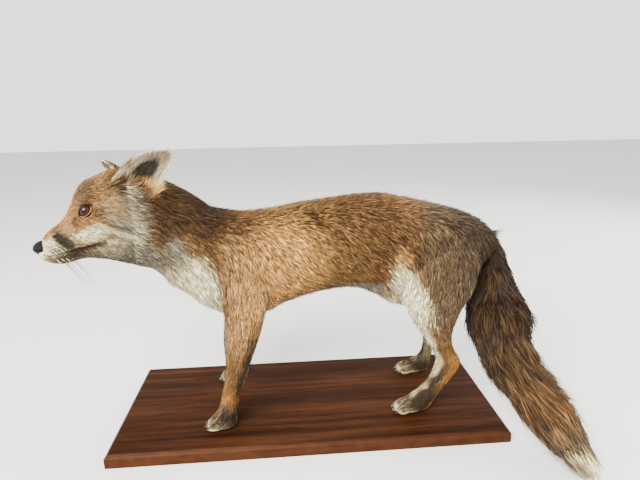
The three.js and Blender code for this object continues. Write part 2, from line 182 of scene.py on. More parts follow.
def add_surround():
    world = bpy.data.worlds.new("room")
    world.use_nodes = True
    sky = world.node_tree.nodes["Background"]
    set_sockets(world.node_tree, sky, Color=(1.0, 0.99, 0.975, 1), Strength=2.2)
    bpy.context.scene.world = world


add_floor()
add_surround()
add_light("window", (-0.9, -1.5, 1.7), 310.0)
add_light("far_side", (1.5, 0.6, 1.2), 70.0)
print("two soft lights over a pale floor")

# %% [markdown]
# The board is one plank of stained wood with a planed top and a small chamfer. Its grain runs along
# its length as long dark and light streaks, with short dark pores in them. Noise that is squeezed
# across the grain gives both; the same noise drives the gloss, so the streaks shine unevenly.

# %% Stained wood
WOOD_DARK = (0.0068, 0.0021, 0.0008)
WOOD_MIDDLE = (0.0190, 0.0063, 0.0022)
WOOD_LIGHT = (0.0400, 0.0145, 0.0056)
WOOD_EDGE = (0.0619, 0.0223, 0.0100)
GRAIN_SWAY = (0.0, 0.012, 0.012)
# how much the noise is squeezed along X, Y and Z, and its detail
STREAKS = ((2.6, 70.0, 70.0), 7.0)
PORES = ((16.0, 900.0, 900.0), 2.0)
BOARD_HALF = (0.275, 0.1135)
PALE_RIM = 0.0045


def squeezed(tree, place, scale):
    return add_node(tree, "Mapping", Vector=place, Scale=scale).outputs["Vector"]


def sum_node(tree, operation, *values):
    return add_node(tree, "Math", *values, operation=operation).outputs["Value"]


def bump(tree, height, strength, distance):
    return add_node(tree, "Bump", Height=height, Strength=strength, Distance=distance).outputs["Normal"]


def stained_wood():
    """Streaks: noise squeezed to a thirtieth across the grain. Pores: finer noise, squeezed more."""
    look, tree, shader = node_material("stained_wood")
    place = object_place(tree)
    bend = add_node(tree, "TexNoise", Vector=place, Scale=5.0, Detail=2.0).outputs["Color"]
    sway = add_node(tree, "VectorMath", bend, GRAIN_SWAY, place, operation="MULTIPLY_ADD").outputs["Vector"]
    streaks, pores = (
        noise(tree, squeezed(tree, sway, scale), Scale=1.0, Detail=detail, Roughness=0.62)
        for scale, detail in (STREAKS, PORES)
    )
    colour = colour_ramp(tree, streaks, (0.30, WOOD_DARK), (0.5, WOOD_MIDDLE), (0.72, WOOD_LIGHT))
    pores = remap(tree, pores, 0.35, 1.0, 0.34, 0.46)
    pored = add_node(tree, "Mix", data_type="RGBA", blend_type="MULTIPLY", Factor=1.0, A=colour, B=pores)
    colour = paler_edges(tree, place, pored.outputs["Result"])
    gloss = remap(tree, streaks, 0.34, 0.56)
    dents = bump(tree, pores, 0.35, 0.0006)
    set_sockets(tree, shader, Base_Color=colour, Roughness=gloss, Normal=dents, Specular_IOR_Level=0.02)
    return look


def paler_edges(tree, place, colour):
    """Lightens a colour close to the board's outer edges, unevenly."""
    split = add_node(tree, "SeparateXYZ", Vector=place)
    gaps = [
        sum_node(tree, "SUBTRACT", half, sum_node(tree, "ABSOLUTE", split.outputs[axis]))
        for axis, half in zip("XY", BOARD_HALF)
    ]
    rim = remap(tree, sum_node(tree, "MINIMUM", *gaps), 0.75, 0.0, 0.0, PALE_RIM)
    rim_patches = noise(tree, place, Scale=60.0, Detail=4.0)
    patchy = sum_node(tree, "MULTIPLY", rim, rim_patches)
    mix = add_node(tree, "Mix", data_type="RGBA", Factor=patchy, A=colour, B=(*WOOD_EDGE, 1))
    return mix.outputs["Result"]


board_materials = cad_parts["board"].data.materials
board_materials.clear()
board_materials.append(stained_wood())

# %% [markdown]
# Every form of the body is a loft: rows of sizes from one end to the other, a smooth curve between
# the rows, and an oval section at each place. The same rows as in the solids are used, so the skin
# keeps their outline. Each loft also has a coat depth, and the skin is drawn that much smaller.

# %% Smooth rows and oval sections
SOLE = 18.3 * MM
BODY_Y = 5 * MM
HEAD_TURN = np.radians(20)
BEND_START = -95 * MM
BEND_LENGTH = 110 * MM
BEYOND_END = 30 * MM


def between(rows, t):
    """Catmull-Rom: a cubic through the two rows about t, leaning as their outer neighbours do."""
    t = np.asarray(t, float)
    row = np.clip(np.floor(t).astype(int), 0, len(rows) - 2)
    f = (t - row)[..., None]
    p0, p1, p2, p3 = (rows[np.clip(row + k, 0, len(rows) - 1)] for k in (-1, 0, 1, 2))
    bend = 2 * p0 - 5 * p1 + 4 * p2 - p3 + (3 * p1 - p0 - 3 * p2 + p3) * f
    return p1 + 0.5 * f * (p2 - p0 + f * bend)


def plan_y(x):
    """The backbone seen from above: straight, then a parabola, then straight along the head."""
    slope = np.tan(HEAD_TURN)
    bent = np.clip(BEND_START - x, 0, BEND_LENGTH)
    past = np.maximum(BEND_START - BEND_LENGTH - x, 0)
    return BODY_Y - slope * bent**2 / (2 * BEND_LENGTH) - slope * past


def plan_side(x):
    """The level direction to the fox's left, square to the backbone."""
    slope = np.tan(HEAD_TURN) * np.clip(BEND_START - x, 0, BEND_LENGTH) / BEND_LENGTH
    side = np.stack([slope, -np.ones_like(slope), np.zeros_like(slope)], -1)
    return unit(side)


def beside_plan(x, out, z):
    """A point beside the backbone; out is measured to the fox's left."""
    x, out, z = np.broadcast_arrays(*(np.asarray(v, float) for v in (x, out, z)))
    return np.stack([x, plan_y(x), z], -1) + out[..., None] * plan_side(x)


def unit(vectors):
    return vectors / np.maximum(np.linalg.norm(vectors, axis=-1, keepdims=True), 1e-12)


def dot(a, b):
    return (a * b).sum(-1)


def smooth_step(low, high, value):
    """0 below low, 1 above high, and an S-shaped ease between."""
    x = np.clip((value - low) / (high - low), 0, 1)
    return x * x * (3 - 2 * x)


# %% [markdown]
# A loft answers two questions. Where is the surface at row t and angle a: the middle, plus the half
# height times the bowed sine, plus the half width times the bowed cosine. And where on the loft is a
# given point: which section's plane holds it, and how high and how far across it lies there. The
# second answer lets the coat know its own place later, whatever was done to the mesh meanwhile.

# %% Lofts
class Loft:
    """Oval sections along rows of sizes; the text over each table says what its columns are."""

    def __init__(self, name, rows, frame_at, coat, floor, chart):
        self.name = name
        self.rows = rows
        self.last = len(rows) - 1
        self.frame_at = frame_at
        self.coat = coat
        self.floor = floor
        self.chart = chart

    def depth(self, t):
        """The coat's depth at row t, straight between the (row, depth) pairs."""
        knots = np.array(self.coat, float)
        return np.interp(t, knots[:, 0], knots[:, 1]) * MM

    def surface(self, t, angle):
        """Points of the bare skin, the coat's depth inside the rows, for arrays of row and angle."""
        centre, half, side, width, egg, full = self.frame_at(self.rows, t)
        skin = self.depth(t)
        tall = np.linalg.norm(half, axis=-1)
        sine, cosine = np.sin(angle), np.cos(angle)
        up = np.sign(sine) * np.abs(sine) ** (2 / full) * np.maximum(1 - skin / tall, 0.2)
        wide = np.maximum(width - skin, 0.2 * width) * (1 + egg * sine)
        across = np.sign(cosine) * np.abs(cosine) ** (2 / full) * wide
        points = centre + half * up[..., None] + side * across[..., None]
        points[..., 2] = np.maximum(points[..., 2], self.floor)
        return points

    def locate(self, points, ticks=90):
        """Row t, height -1..1, width -1..1 and q, which is 1 on the coat's tips and less inside."""
        steps = np.linspace(0, self.last, ticks)
        centre, half, side, _, _, _ = self.frame_at(self.rows, steps)
        normal = unit(np.cross(side, half))
        normal *= np.sign(dot(normal, np.gradient(centre, axis=0)))[:, None]
        ahead = points @ normal.T - dot(centre, normal)
        gap = (points**2).sum(1)[:, None] - 2 * points @ centre.T + (centre**2).sum(1)
        crossing = (ahead[:, :-1] >= 0) & (ahead[:, 1:] < 0)
        cost = np.where(crossing, gap[:, :-1], 1e3 + gap[:, :-1])
        cell = cost.argmin(1)
        rows = np.arange(len(points))
        first, second = ahead[rows, cell], ahead[rows, cell + 1]
        inside = crossing[rows, cell]
        part = np.where(inside, first / np.where(inside, first - second, 1), 0)
        t = steps[cell] + part * (steps[1] - steps[0])
        t = np.where(inside, t, np.where(gap[:, 0] < gap[:, -1], 0.0, self.last))
        centre, half, side, width, egg, full = self.frame_at(self.rows, t)
        away = points - centre
        up = dot(away, half) / dot(half, half)
        across = dot(away, side) / width
        across = across / (1 + egg * np.clip(up, -1, 1))
        q = (np.abs(up) ** full + np.abs(across) ** full) ** (1 / full)
        beyond = np.where(inside, 0, np.sqrt(gap.min(1)) / BEYOND_END)
        return t, up, across, q + beyond


def ring_grid(places, sides, turned=0.0):
    """Ring places and angles round each ring, as two arrays of one shape."""
    return np.meshgrid(places, 2 * np.pi * (np.arange(sides) + turned) / sides, indexing="ij")


def loft_grid(loft, rings, sides):
    """A closed mesh of a loft: rings of points, quads between them and a fan over each end."""
    return close_grid(loft.surface(*ring_grid(np.linspace(0.0, loft.last, rings), sides, 0.5)))


def ring_quads(number):
    """Quads between each row of point numbers and the next, where every row closes on itself."""
    onward = np.roll(number, -1, axis=1)
    return np.stack([number[:-1], number[1:], onward[1:], onward[:-1]], -1).reshape(-1, 4)


def close_grid(points):
    """Faces for rings of points that close on themselves; each end gets a middle point."""
    rings, sides = points.shape[:2]
    number = np.arange(rings * sides).reshape(rings, sides)
    ends = []
    for ring, middle, turn in ((number[0], rings * sides, 1), (number[-1], rings * sides + 1, -1)):
        pair = (ring, np.roll(ring, -1))[::turn]
        ends.append(np.stack([np.full(sides, middle), *pair], -1))
    middles = np.stack([points[0].mean(0), points[-1].mean(0)])
    points = np.vstack([points.reshape(-1, 3), middles])
    return points, [ring_quads(number), np.vstack(ends)]


def make_mesh(name, points, faces):
    """A mesh object from points and from arrays of faces, one array for each number of corners."""
    mesh = bpy.data.meshes.new(name)
    mesh.vertices.add(len(points))
    mesh.vertices.foreach_set("co", np.ascontiguousarray(points, np.float32).ravel())
    corners = np.concatenate([f.ravel() for f in faces]).astype(np.int32)
    sizes = np.concatenate([np.full(len(f), f.shape[1], np.int32) for f in faces])
    mesh.loops.add(len(corners))
    mesh.loops.foreach_set("vertex_index", corners)
    mesh.polygons.add(len(sizes))
    mesh.polygons.foreach_set("loop_start", np.concatenate([[0], np.cumsum(sizes)[:-1]]).astype(np.int32))
    mesh.update(calc_edges=True)
    mesh.shade_smooth()
    return add_object(name, mesh)


def join_shapes(shapes):
    """Several (points, faces) as one, with the faces renumbered."""
    offset = 0
    points, faces = [], {}
    for some_points, some_faces in shapes:
        for block in some_faces:
            faces.setdefault(block.shape[1], []).append(block + offset)
        points.append(some_points)
        offset += len(some_points)
    return np.vstack(points), [np.vstack(blocks) for blocks in faces.values()]


# %% [markdown]
# Head, neck and trunk are one loft along the backbone. Each row holds the top and the bottom of the
# outline in side view, the half width, the egg (wider above or below) and the fullness (2 is an
# ellipse, more is squarer). The coat is a millimetre deep on the muzzle and eight on the back.

# %% Head, neck and trunk
BODY_ROWS = np.array([
    [-338, 294, -337, 279, 7, 0, 2], [-333, 300, -333, 274, 12.5, -0.1, 2.1],
    [-321, 312, -325, 269, 16, -0.15, 2.2], [-311, 319, -314, 266, 19, -0.2, 2.2],
    [-304, 327, -304, 267, 23, -0.22, 2.25], [-297, 339, -294, 270, 28.5, -0.22, 2.3],
    [-290, 355, -283, 271, 35, -0.2, 2.4], [-279, 370, -272, 269, 42, -0.18, 2.5],
    [-262, 378, -258, 265, 48, -0.15, 2.55], [-243, 384, -243, 258, 51, -0.1, 2.5],
    [-222, 383, -228, 251, 52, -0.05, 2.4], [-200, 374, -213, 244, 51, 0, 2.3],
    [-178, 360, -200, 232, 50, 0, 2.25], [-152, 343, -187, 213, 52, 0, 2.2],
    [-130, 326, -165, 196, 56, 0, 2.2], [-105, 319, -140, 175, 60, 0, 2.2],
    [-75, 317, -105, 162, 62, 0.04, 2.2], [-40, 321, -65, 164, 62, 0.04, 2.2],
    [-5, 327, -28, 181, 61, 0.02, 2.2], [35, 332, 20, 194, 60, 0, 2.2], [75, 337, 68, 197, 58, 0, 2.2],
    [112, 337, 103, 184, 56, 0.02, 2.2], [150, 330, 130, 166, 55, 0.08, 2.2],
    [190, 320, 163, 164, 56, 0.12, 2.2], [228, 309, 200, 176, 53, 0.1, 2.2],
    [257, 295, 232, 200, 44, 0.05, 2.2], [277, 277, 256, 228, 30, 0, 2.2],
    [286, 262, 274, 246, 11, 0, 2.2],
])
BODY_ROWS[:, :5] *= MM
BODY_COAT = [(0, 0.7), (4, 1.3), (7, 2), (9, 3.5), (12, 6.5), (16, 8.5), (26, 8.5), (27, 4)]


def body_frame(rows, t):
    """Middle, half height, side, half width, egg and fullness of the body's section at row t."""
    top_x, top_z, low_x, low_z, width, egg, full = np.moveaxis(between(rows, t), -1, 0)
    top = np.stack([top_x, plan_y(top_x), top_z], -1)
    low = np.stack([low_x, plan_y(low_x), low_z], -1)
    side = plan_side((top_x + low_x) / 2)
    return (top + low) / 2, (top - low) / 2, side, width, egg, full


body = Loft("body", BODY_ROWS, body_frame, BODY_COAT, SOLE, (0.02, 0.52, 0.60, 0.46))
print("nose to rump", round(float(BODY_ROWS[-1, 0] - BODY_ROWS[0, 0]), 3), "m")

# %% [markdown]
# A leg is a loft too, from the shoulder or hip down to the toes, where its path turns forward into
# the paw. A row holds the front and the rear of the outline, the distance out from the body's middle
# plane and the half width. Each leg has rows of its own, because the fox stands in mid step.

# %% Legs
LEG_FULL = 2.2
FORELEG_LEFT = [
    [-112, 272, -66, 276, 30, 16], [-124, 226, -50, 230, 41, 22], [-118, 190, -55, 192, 51, 22.5],
    [-112, 163, -64, 160, 58, 19.5], [-112, 138, -73, 135, 62, 17.5], [-115, 114, -81, 112, 65, 15.5],
    [-119, 93, -89, 92, 67, 13.5], [-124, 72, -97, 72, 67.5, 12.5], [-128, 54, -102, 50, 67.5, 13],
    [-133, 43, -105, 34, 67.5, 14.5], [-139, 36, -107, 22, 67.5, 16], [-144, 30, -124, 18.3, 67.5, 15],
    [-146, 24, -140, 18.3, 67.5, 10],
]
FORELEG_RIGHT = [
    [-118, 272, -70, 276, 30, 16], [-133, 226, -57, 230, 41, 22], [-131, 190, -67, 192, 50, 22.5],
    [-130, 163, -80, 160, 55, 19.5], [-131, 138, -90, 135, 58, 17.5], [-134, 114, -99, 112, 60, 15.5],
    [-136, 93, -105, 92, 61, 13.5], [-136, 72, -109, 72, 61, 12.5], [-135, 54, -108, 50, 61, 13],
    [-136, 43, -107, 34, 61, 14.5], [-138, 36, -106, 22, 61, 16], [-140, 30, -120, 18.3, 61, 15],
    [-141, 24, -135, 18.3, 61, 10],
]
HINDLEG_LEFT = [
    [160, 290, 232, 286, 18, 22], [142, 242, 250, 246, 33, 30], [135, 200, 240, 208, 44, 29],
    [141, 173, 221, 178, 49, 26], [154, 151, 209, 150, 52, 21], [167, 132, 206, 130, 54, 17],
    [177, 114, 211, 113, 55, 14], [183, 99, 221, 96, 55, 12.5], [181, 85, 217, 80, 55, 11.5],
    [173, 68, 202, 60, 55, 11], [160, 52, 187, 40, 55, 12], [147, 42, 176, 23, 55, 14],
    [136, 34, 158, 18.3, 55, 15.5], [128, 28, 142, 18.3, 55, 13], [126, 23, 131, 18.3, 55, 9],
]
HINDLEG_RIGHT = [
    [162, 290, 234, 286, 18, 22], [146, 242, 252, 246, 33, 30], [140, 200, 243, 208, 44, 29],
    [148, 173, 225, 178, 48, 26], [163, 151, 215, 150, 50, 21], [177, 132, 213, 130, 52, 17],
    [188, 114, 219, 113, 53, 14], [194, 99, 228, 96, 54, 12.5], [196, 85, 224, 80, 55, 11.5],
    [197, 68, 215, 60, 55, 10.5], [193, 50, 212, 38, 55, 12], [181, 40, 207, 22, 55, 14],
    [168, 33, 188, 18.3, 55, 15.5], [159, 28, 172, 18.3, 55, 13], [155, 23, 160, 18.3, 55, 9],
]
FORE_COAT = [(0, 8), (1.5, 6.5), (3, 4.5), (5, 2.8), (8, 1.8), (10, 1.3), (12, 1.2)]
HIND_COAT = [(0, 8), (2, 7), (4, 4.5), (6, 3), (8, 2), (11, 1.4), (14, 1.2)]


def leg_frame(side):
    """The frame of a leg on one side: side is 1 for the fox's left and -1 for its right."""

    def frame_at(rows, t):
        front_x, front_z, rear_x, rear_z, out, width = np.moveaxis(between(rows, t), -1, 0)
        y = BODY_Y - side * out
        front = np.stack([front_x, y, front_z], -1)
        rear = np.stack([rear_x, y, rear_z], -1)
        across = np.zeros_like(front) + np.array([0.0, -side, 0.0])
        flat = np.zeros_like(width)
        return (front + rear) / 2, (front - rear) / 2, across, width, flat, flat + LEG_FULL

    return frame_at


legs = [
    Loft(name, np.array(rows, float) * MM, leg_frame(side), coat, SOLE, (left, low, 0.16, 0.22))
    for name, rows, side, coat, left, low in (
        ("foreleg_left", FORELEG_LEFT, 1, FORE_COAT, 0.64, 0.52),
        ("foreleg_right", FORELEG_RIGHT, -1, FORE_COAT, 0.82, 0.52),
        ("hindleg_left", HINDLEG_LEFT, 1, HIND_COAT, 0.64, 0.76),
        ("hindleg_right", HINDLEG_RIGHT, -1, HIND_COAT, 0.82, 0.76),
    )
]
print("legs:", [leg.name for leg in legs])

# %% [markdown]
# The brush drops behind the rump and swings to the fox's left. Most of its width is hair: the tail
# inside is a thin whip. The skin here is a soft core of the brush that keeps the locks apart, and
# the locks, not the skin, make the outline.

# %% Brush
TAIL_ROWS = np.array([
    [264, 7, 266, 19], [274, 4, 244, 22], [281, 0, 216, 27], [282, -8, 190, 36], [280, -22, 168, 45],
    [279, -38, 148, 48], [279, -57, 126, 43], [284, -77, 103, 38.5], [297, -98, 80, 35],
    [310, -121, 61, 34], [319, -143, 46, 30], [326, -161, 34, 24], [332, -175, 24, 18],
    [337, -184, 15, 11], [341, -189, 8, 4],
]) * MM
TAIL_COAT = [(0, 5), (1, 6), (2, 8), (3, 11), (4, 14), (6, 14), (9, 12), (11, 9), (13, 5), (14, 2)]


def tail_frame(rows, t):
    """The path's direction gives the section: one axis level with X, one square to both."""
    step = 0.02
    ahead = np.minimum(np.asarray(t, float) + step, len(rows) - 1)
    along = unit(between(rows, ahead)[..., :3] - between(rows, ahead - 2 * step)[..., :3])
    wide = np.array([1.0, 0.0, 0.0]) - along * along[..., :1]
    wide = unit(wide)
    row = between(rows, t)
    radius = row[..., 3]
    half = np.cross(along, wide) * radius[..., None]
    flat = np.zeros_like(radius)
    return row[..., :3], half, wide, radius, flat, flat + 2.0


tail = Loft("tail", TAIL_ROWS, tail_frame, TAIL_COAT, 4 * MM, (0.02, 0.02, 0.40, 0.46))
lofts = [body, *legs, tail]
print("brush length", round(float(np.linalg.norm(np.diff(TAIL_ROWS[:, :3], axis=0), axis=1).sum()), 3))

# %% [markdown]
# Four toes stand in front of each paw, the middle two further forward. A toe is an egg shape,
# dipped at its tip. They are joined to the legs when the skin is made, so that only the folds
# between them stay.

# %% Toes
TOE_SPREAD = np.array([-11.5, -4, 4, 11.5]) * MM
TOE_LENGTHS = np.array([-4, 0, 0, -4]) * MM
TOE_RADII = np.array([11.5, 4.9, 6.2]) * MM
TOE_DROP = np.radians(14)
TOE_SETBACK = 8 * MM
PAW_COAT = 0.9 * MM


def paw_front(leg):
    """Where the last row of a leg ends: x of its front, and y of its middle."""
    centre, half, _, _, _, _ = leg.frame_at(leg.rows, np.array([float(leg.last)]))
    return (centre + half)[0, 0], centre[0, 1]


def ball_grid(rings=15, sides=18):
    """Rings of a unit ball about X: radius is the sine and place the cosine of the ring's angle."""
    polar, around = ring_grid(np.linspace(0.12, np.pi - 0.12, rings), sides)
    return np.stack([-np.cos(polar), np.sin(polar) * np.cos(around), np.sin(polar) * np.sin(around)], -1)


def toe_shape(leg, digit):
    """A ball scaled to the toe, dipped forward about Y and cut flat at the sole."""
    front, y = paw_front(leg)
    ball = ball_grid() * (TOE_RADII - PAW_COAT)
    dip_x = np.array([np.cos(TOE_DROP), 0, np.sin(TOE_DROP)])
    dip_z = np.array([-np.sin(TOE_DROP), 0, np.cos(TOE_DROP)])
    points = ball[..., :1] * dip_x + ball[..., 1:2] * np.array([0.0, 1, 0]) + ball[..., 2:] * dip_z
    points += (front - TOE_LENGTHS[digit] + TOE_SETBACK, y + TOE_SPREAD[digit], SOLE + TOE_RADII[2])
    points[..., 2] = np.maximum(points[..., 2], SOLE)
    return close_grid(points)


toes = [toe_shape(leg, digit) for leg in legs for digit in range(4)]
print("toes:", len(toes))

# %% [markdown]
# An ear is a leaf-shaped cup. Its half width falls to a rounded tip, its section is an arc, and the
# front rim starts lower than the rear one. The near ear turns out to the side and lies back; the far
# one points forward and out. Both walls are one closed sheet, thinner towards the rim.

# %% Ears
EAR_HALF_WIDTH = 22 * MM
EAR_FULL = 3.3
EAR_CUP = 13 * MM
EAR_BOW = 8 * MM
EAR_SKEW = 0.4
EAR_ARC = np.radians(68)
EAR_THICKNESS = 2.4 * MM
EAR_EDGE = 0.6
EAR_ROOT = 0.16
EAR_TIP = 0.985
EAR_NARROWING = 0.60
EAR_RINGS = 40
EAR_STEPS = 28


class Ear:
    """The frame of one ear: along to the tip, open towards what it faces, across from rim to rim."""

    def __init__(self, name, root, tip, facing, chart):
        self.name = name
        self.root = root
        self.axis = tip - root
        self.along = unit(self.axis)
        self.open = unit(facing - self.along * dot(facing, self.along))
        self.across = np.cross(self.along, self.open)
        self.ahead = -1.0 if self.across[0] > 0 else 1.0
        self.chart = chart

    def outline(self, up):
        """Half width, falling to the tip by a power curve, and the bow sideways, half a sine wave."""
        half_width = EAR_HALF_WIDTH * (1 - up**EAR_FULL) ** EAR_NARROWING
        return half_width, self.ahead * EAR_BOW * np.sin(np.pi * up)

    def surface(self, h, c, wall):
        """The cup at height h and place c from rim (-1) to rim (1); wall is -1 behind, 1 inside."""
        up = np.clip(h, 0, EAR_TIP)
        half_width, bow = self.outline(up)
        cup = EAR_CUP * (1 - up**1.3) + MM
        lift = -self.ahead * c * EAR_SKEW * (1 - up)
        wide = half_width * np.sin(c * EAR_ARC) / np.sin(EAR_ARC)
        deep = cup * (np.cos(c * EAR_ARC) - np.cos(EAR_ARC)) / (1 - np.cos(EAR_ARC))
        thin = EAR_THICKNESS * (1 - 0.5 * up) * (1 - (1 - EAR_EDGE) * c * c)
        points = self.root + (h + lift)[..., None] * self.axis
        points = points + (wide + bow)[..., None] * self.across
        return points + (wall * 0.5 * thin - deep)[..., None] * self.open

    def locate(self, points):
        """Height and place from rim to rim of points on the ear, by undoing the lift step by step."""
        away = points - self.root
        h = away @ self.along / np.linalg.norm(self.axis)
        place = away @ self.across
        c = np.zeros_like(h)
        for _ in range(8):
            up = np.clip(h + self.ahead * c * EAR_SKEW * (1 - np.clip(h, 0, EAR_TIP)), 0, EAR_TIP)
            half_width, bow = self.outline(up)
            sine = np.clip((place - bow) / half_width * np.sin(EAR_ARC), -1, 1)
            c = 0.5 * c + 0.5 * np.clip(np.arcsin(sine) / EAR_ARC, -1.2, 1.2)
        return up, c


ears = [
    Ear("ear_left", beside_plan(-0.230, 0.046, 0.354), beside_plan(-0.181, 0.056, 0.404),
        np.array([-0.02, -1, 0.1]), (0.46, 0.02, 0.24, 0.22)),
    Ear("ear_right", beside_plan(-0.232, -0.038, 0.352), beside_plan(-0.256, -0.086, 0.382),
        np.array([-1, -0.3, -0.3]), (0.72, 0.02, 0.24, 0.22)),
]


def ear_shape(ear):
    """Rings up the ear; each ring runs along the back wall and returns along the inner wall."""
    c = np.linspace(-1, 1, EAR_STEPS)
    around = np.concatenate([c, c[::-1]])
    wall = np.repeat([-1.0, 1.0], EAR_STEPS)
    h, place = np.meshgrid(np.linspace(-EAR_ROOT, 1, EAR_RINGS), around, indexing="ij")
    points = ear.surface(h, place, np.broadcast_to(wall, h.shape))
    number = np.arange(h.size).reshape(h.shape)
    caps = []
    for ring, turn in ((0, 1), (-1, -1)):
        outer = number[ring, :EAR_STEPS]
        inner = number[ring, EAR_STEPS:][::-1]
        strip = np.stack([outer[:-1], outer[1:], inner[1:], inner[:-1]], -1)
        caps.append(strip[:, ::turn])
    return points.reshape(-1, 3), [np.vstack([ring_quads(number), *caps])]


print("ears:", [round(float(np.linalg.norm(ear.axis)), 4) for ear in ears], "m long")

# %% [markdown]
# One skin holds all of this together. The lofts and toes are closed forms that run into each other;
# a voxel remesh keeps only what is outside, as one mesh of even squares. Then the mesh is relaxed,
# so that shoulder and thigh flow into the trunk as muscle does. Growing it from a ball would be
# slower and looser; a remesh keeps the measured outline.

# %% One skin
BODY_GRID = (170, 72)
LIMB_GRID = (90, 40)
VOXEL = 2.7 * MM
RELAX_ROUNDS = 6


def applied(piece):
    """The mesh of a piece with its modifiers worked out, in place of its old mesh."""
    graph = bpy.context.evaluated_depsgraph_get()
    mesh = bpy.data.meshes.new_from_object(piece.evaluated_get(graph))
    piece.modifiers.clear()
    old = piece.data
    piece.data = mesh
    bpy.data.meshes.remove(old)
    return piece


def read_array(items, name, width, kind=np.float32):
    """One property of all items as an array with width numbers in each row."""
    values = np.empty(len(items) * width, kind)
    items.foreach_get(name, values)
    return values.reshape(-1, width)


def read_points(mesh):
    return read_array(mesh.vertices, "co", 3).astype(float)


def write_points(mesh, points):
    mesh.vertices.foreach_set("co", np.ascontiguousarray(points, np.float32).ravel())
    mesh.update()


def read_edges(mesh):
    return read_array(mesh.edges, "vertices", 2, np.int32)


def read_normals(mesh):
    return read_array(mesh.vertex_normals, "vector", 3).astype(float)


def neighbour_mean(values, edges):
    """The mean of each point's neighbours, for values with any number of columns."""
    ends = np.concatenate([edges[:, 0], edges[:, 1]])
    others = np.concatenate([edges[:, 1], edges[:, 0]])
    count = np.maximum(np.bincount(ends, minlength=len(values)), 1)
    sums = [np.bincount(ends, column[others], minlength=len(values)) for column in values.T]
    return np.stack(sums, -1) / count[:, None]


def relax(points, edges, rounds):
    """Moves each point to its neighbours' mean and a little past it back, which keeps the bulk."""
    for _ in range(rounds):
        for pull in (0.55, -0.57):
            points = points + pull * (neighbour_mean(points, edges) - points)
    return points


def remeshed_skin():
    shapes = [loft_grid(body, *BODY_GRID)] + [loft_grid(loft, *LIMB_GRID) for loft in (*legs, tail)]
    skin = make_mesh("fox_skin", *join_shapes(shapes + toes))
    remesh = skin.modifiers.new("one_skin", "REMESH")
    remesh.mode = "VOXEL"
    remesh.voxel_size = VOXEL
    applied(skin)
    mesh = skin.data
    write_points(mesh, relax(read_points(mesh), read_edges(mesh), RELAX_ROUNDS))
    return skin


skin = remeshed_skin()
print("skin:", len(skin.data.vertices), "points,", len(skin.data.polygons), "faces")

# %% [markdown]
# Most of a fox's look is in a few forms of the head: the brow over the eye, the hollow before it,
# the cheekbone, the pad of the upper lip and the line of the mouth. Each is a soft push along the
# skin's own direction, strongest at its middle. The front of the head is split once more first,
# because these forms are finer than the squares of the remesh.

# %% Forms of the head
EYE_PLACE = np.array([-278.8, 30.0, 336.5]) * MM
EYE_RADIUS = 9 * MM
EYE_TILT = np.radians(42)
EYE_HALF_LENGTH = 7.5 * MM
EYE_HALF_HEIGHT = 4.8 * MM
EYE_SINK = 7.5 * MM
MOUTH_LINE = np.array([
    [-331, 281.5], [-322, 281], [-311, 283.5], [-301, 287], [-292, 290], [-283, 292.5], [-274, 295.5],
    [-266, 299],
]) * MM
MOUTH_REAR = -0.25
FINE_HEAD = -0.236
FINE_PAWS = SOLE + 27 * MM
FINE_PAWS_REAR = 0.25
# s, out, z, radius, push: millimetres beside the backbone
HEAD_FORMS = [
    [-282, 27, 352, 12, 1.6], [-293, 17, 333, 11, -1.4], [-262, 44, 347, 14, -1.4],
    [-257, 48, 322, 17, 2.0], [-317, 16, 292, 11, 1.3], [-302, 21, 301, 12, -1.0],
    [-318, 13, 274, 9, 0.7], [-270, 0, 377, 11, -1.2], [-232, 46, 300, 22, 2.0],
]


def plan_place(points):
    """s, out, z of points: where the square line from the backbone meets them, by repeated steps."""
    s = points[:, 0].copy()
    for _ in range(14):
        side = plan_side(s)
        foot = np.stack([s, plan_y(s), points[:, 2]], -1)
        out = dot(points - foot, side)
        s = points[:, 0] - out * side[:, 0]
    return s, out, points[:, 2]


def is_fine(place):
    return place.x < FINE_HEAD or (place.z < FINE_PAWS and place.x < FINE_PAWS_REAR)


def split_fine(mesh):
    """Each face of the front of the head and of the paws becomes four; their neighbours stay whole."""
    work = bmesh.new()
    work.from_mesh(mesh)
    fine = [face for face in work.faces if is_fine(face.calc_center_median())]
    edges = list({edge for face in fine for edge in face.edges})
    bmesh.ops.subdivide_edges(work, edges=edges, cuts=1, use_grid_fill=True)
    bmesh.ops.triangulate(work, faces=[face for face in work.faces if len(face.verts) > 4])
    work.to_mesh(mesh)
    work.free()
    mesh.shade_smooth()


def eye_frame(side):
    """Middle, level-and-tilted axis along the lids, axis across them, and the way it looks."""
    centre = beside_plan(EYE_PLACE[0], side * EYE_PLACE[1], EYE_PLACE[2])
    out = side * plan_side(EYE_PLACE[0])
    rear = unit(np.array([1.0, np.tan(-HEAD_TURN), 0.0]))
    look = unit(out - 0.30 * rear + np.array([0, 0, 0.10]))
    level = unit(rear - look * dot(rear, look))
    upright = np.cross(look, level) * side
    along = np.cos(EYE_TILT) * level + np.sin(EYE_TILT) * upright
    across = np.cos(EYE_TILT) * upright - np.sin(EYE_TILT) * level
    return centre, along, across, look


def eye_place(points, side):
    """Ring (1 on the lids' rim), height across the lids, distance ahead, and distance from the eye."""
    centre, along, across, look = eye_frame(side)
    away = points - centre
    ring = np.hypot(away @ along / EYE_HALF_LENGTH, away @ across / EYE_HALF_HEIGHT)
    return ring, away @ across, away @ look, np.linalg.norm(away, axis=1)


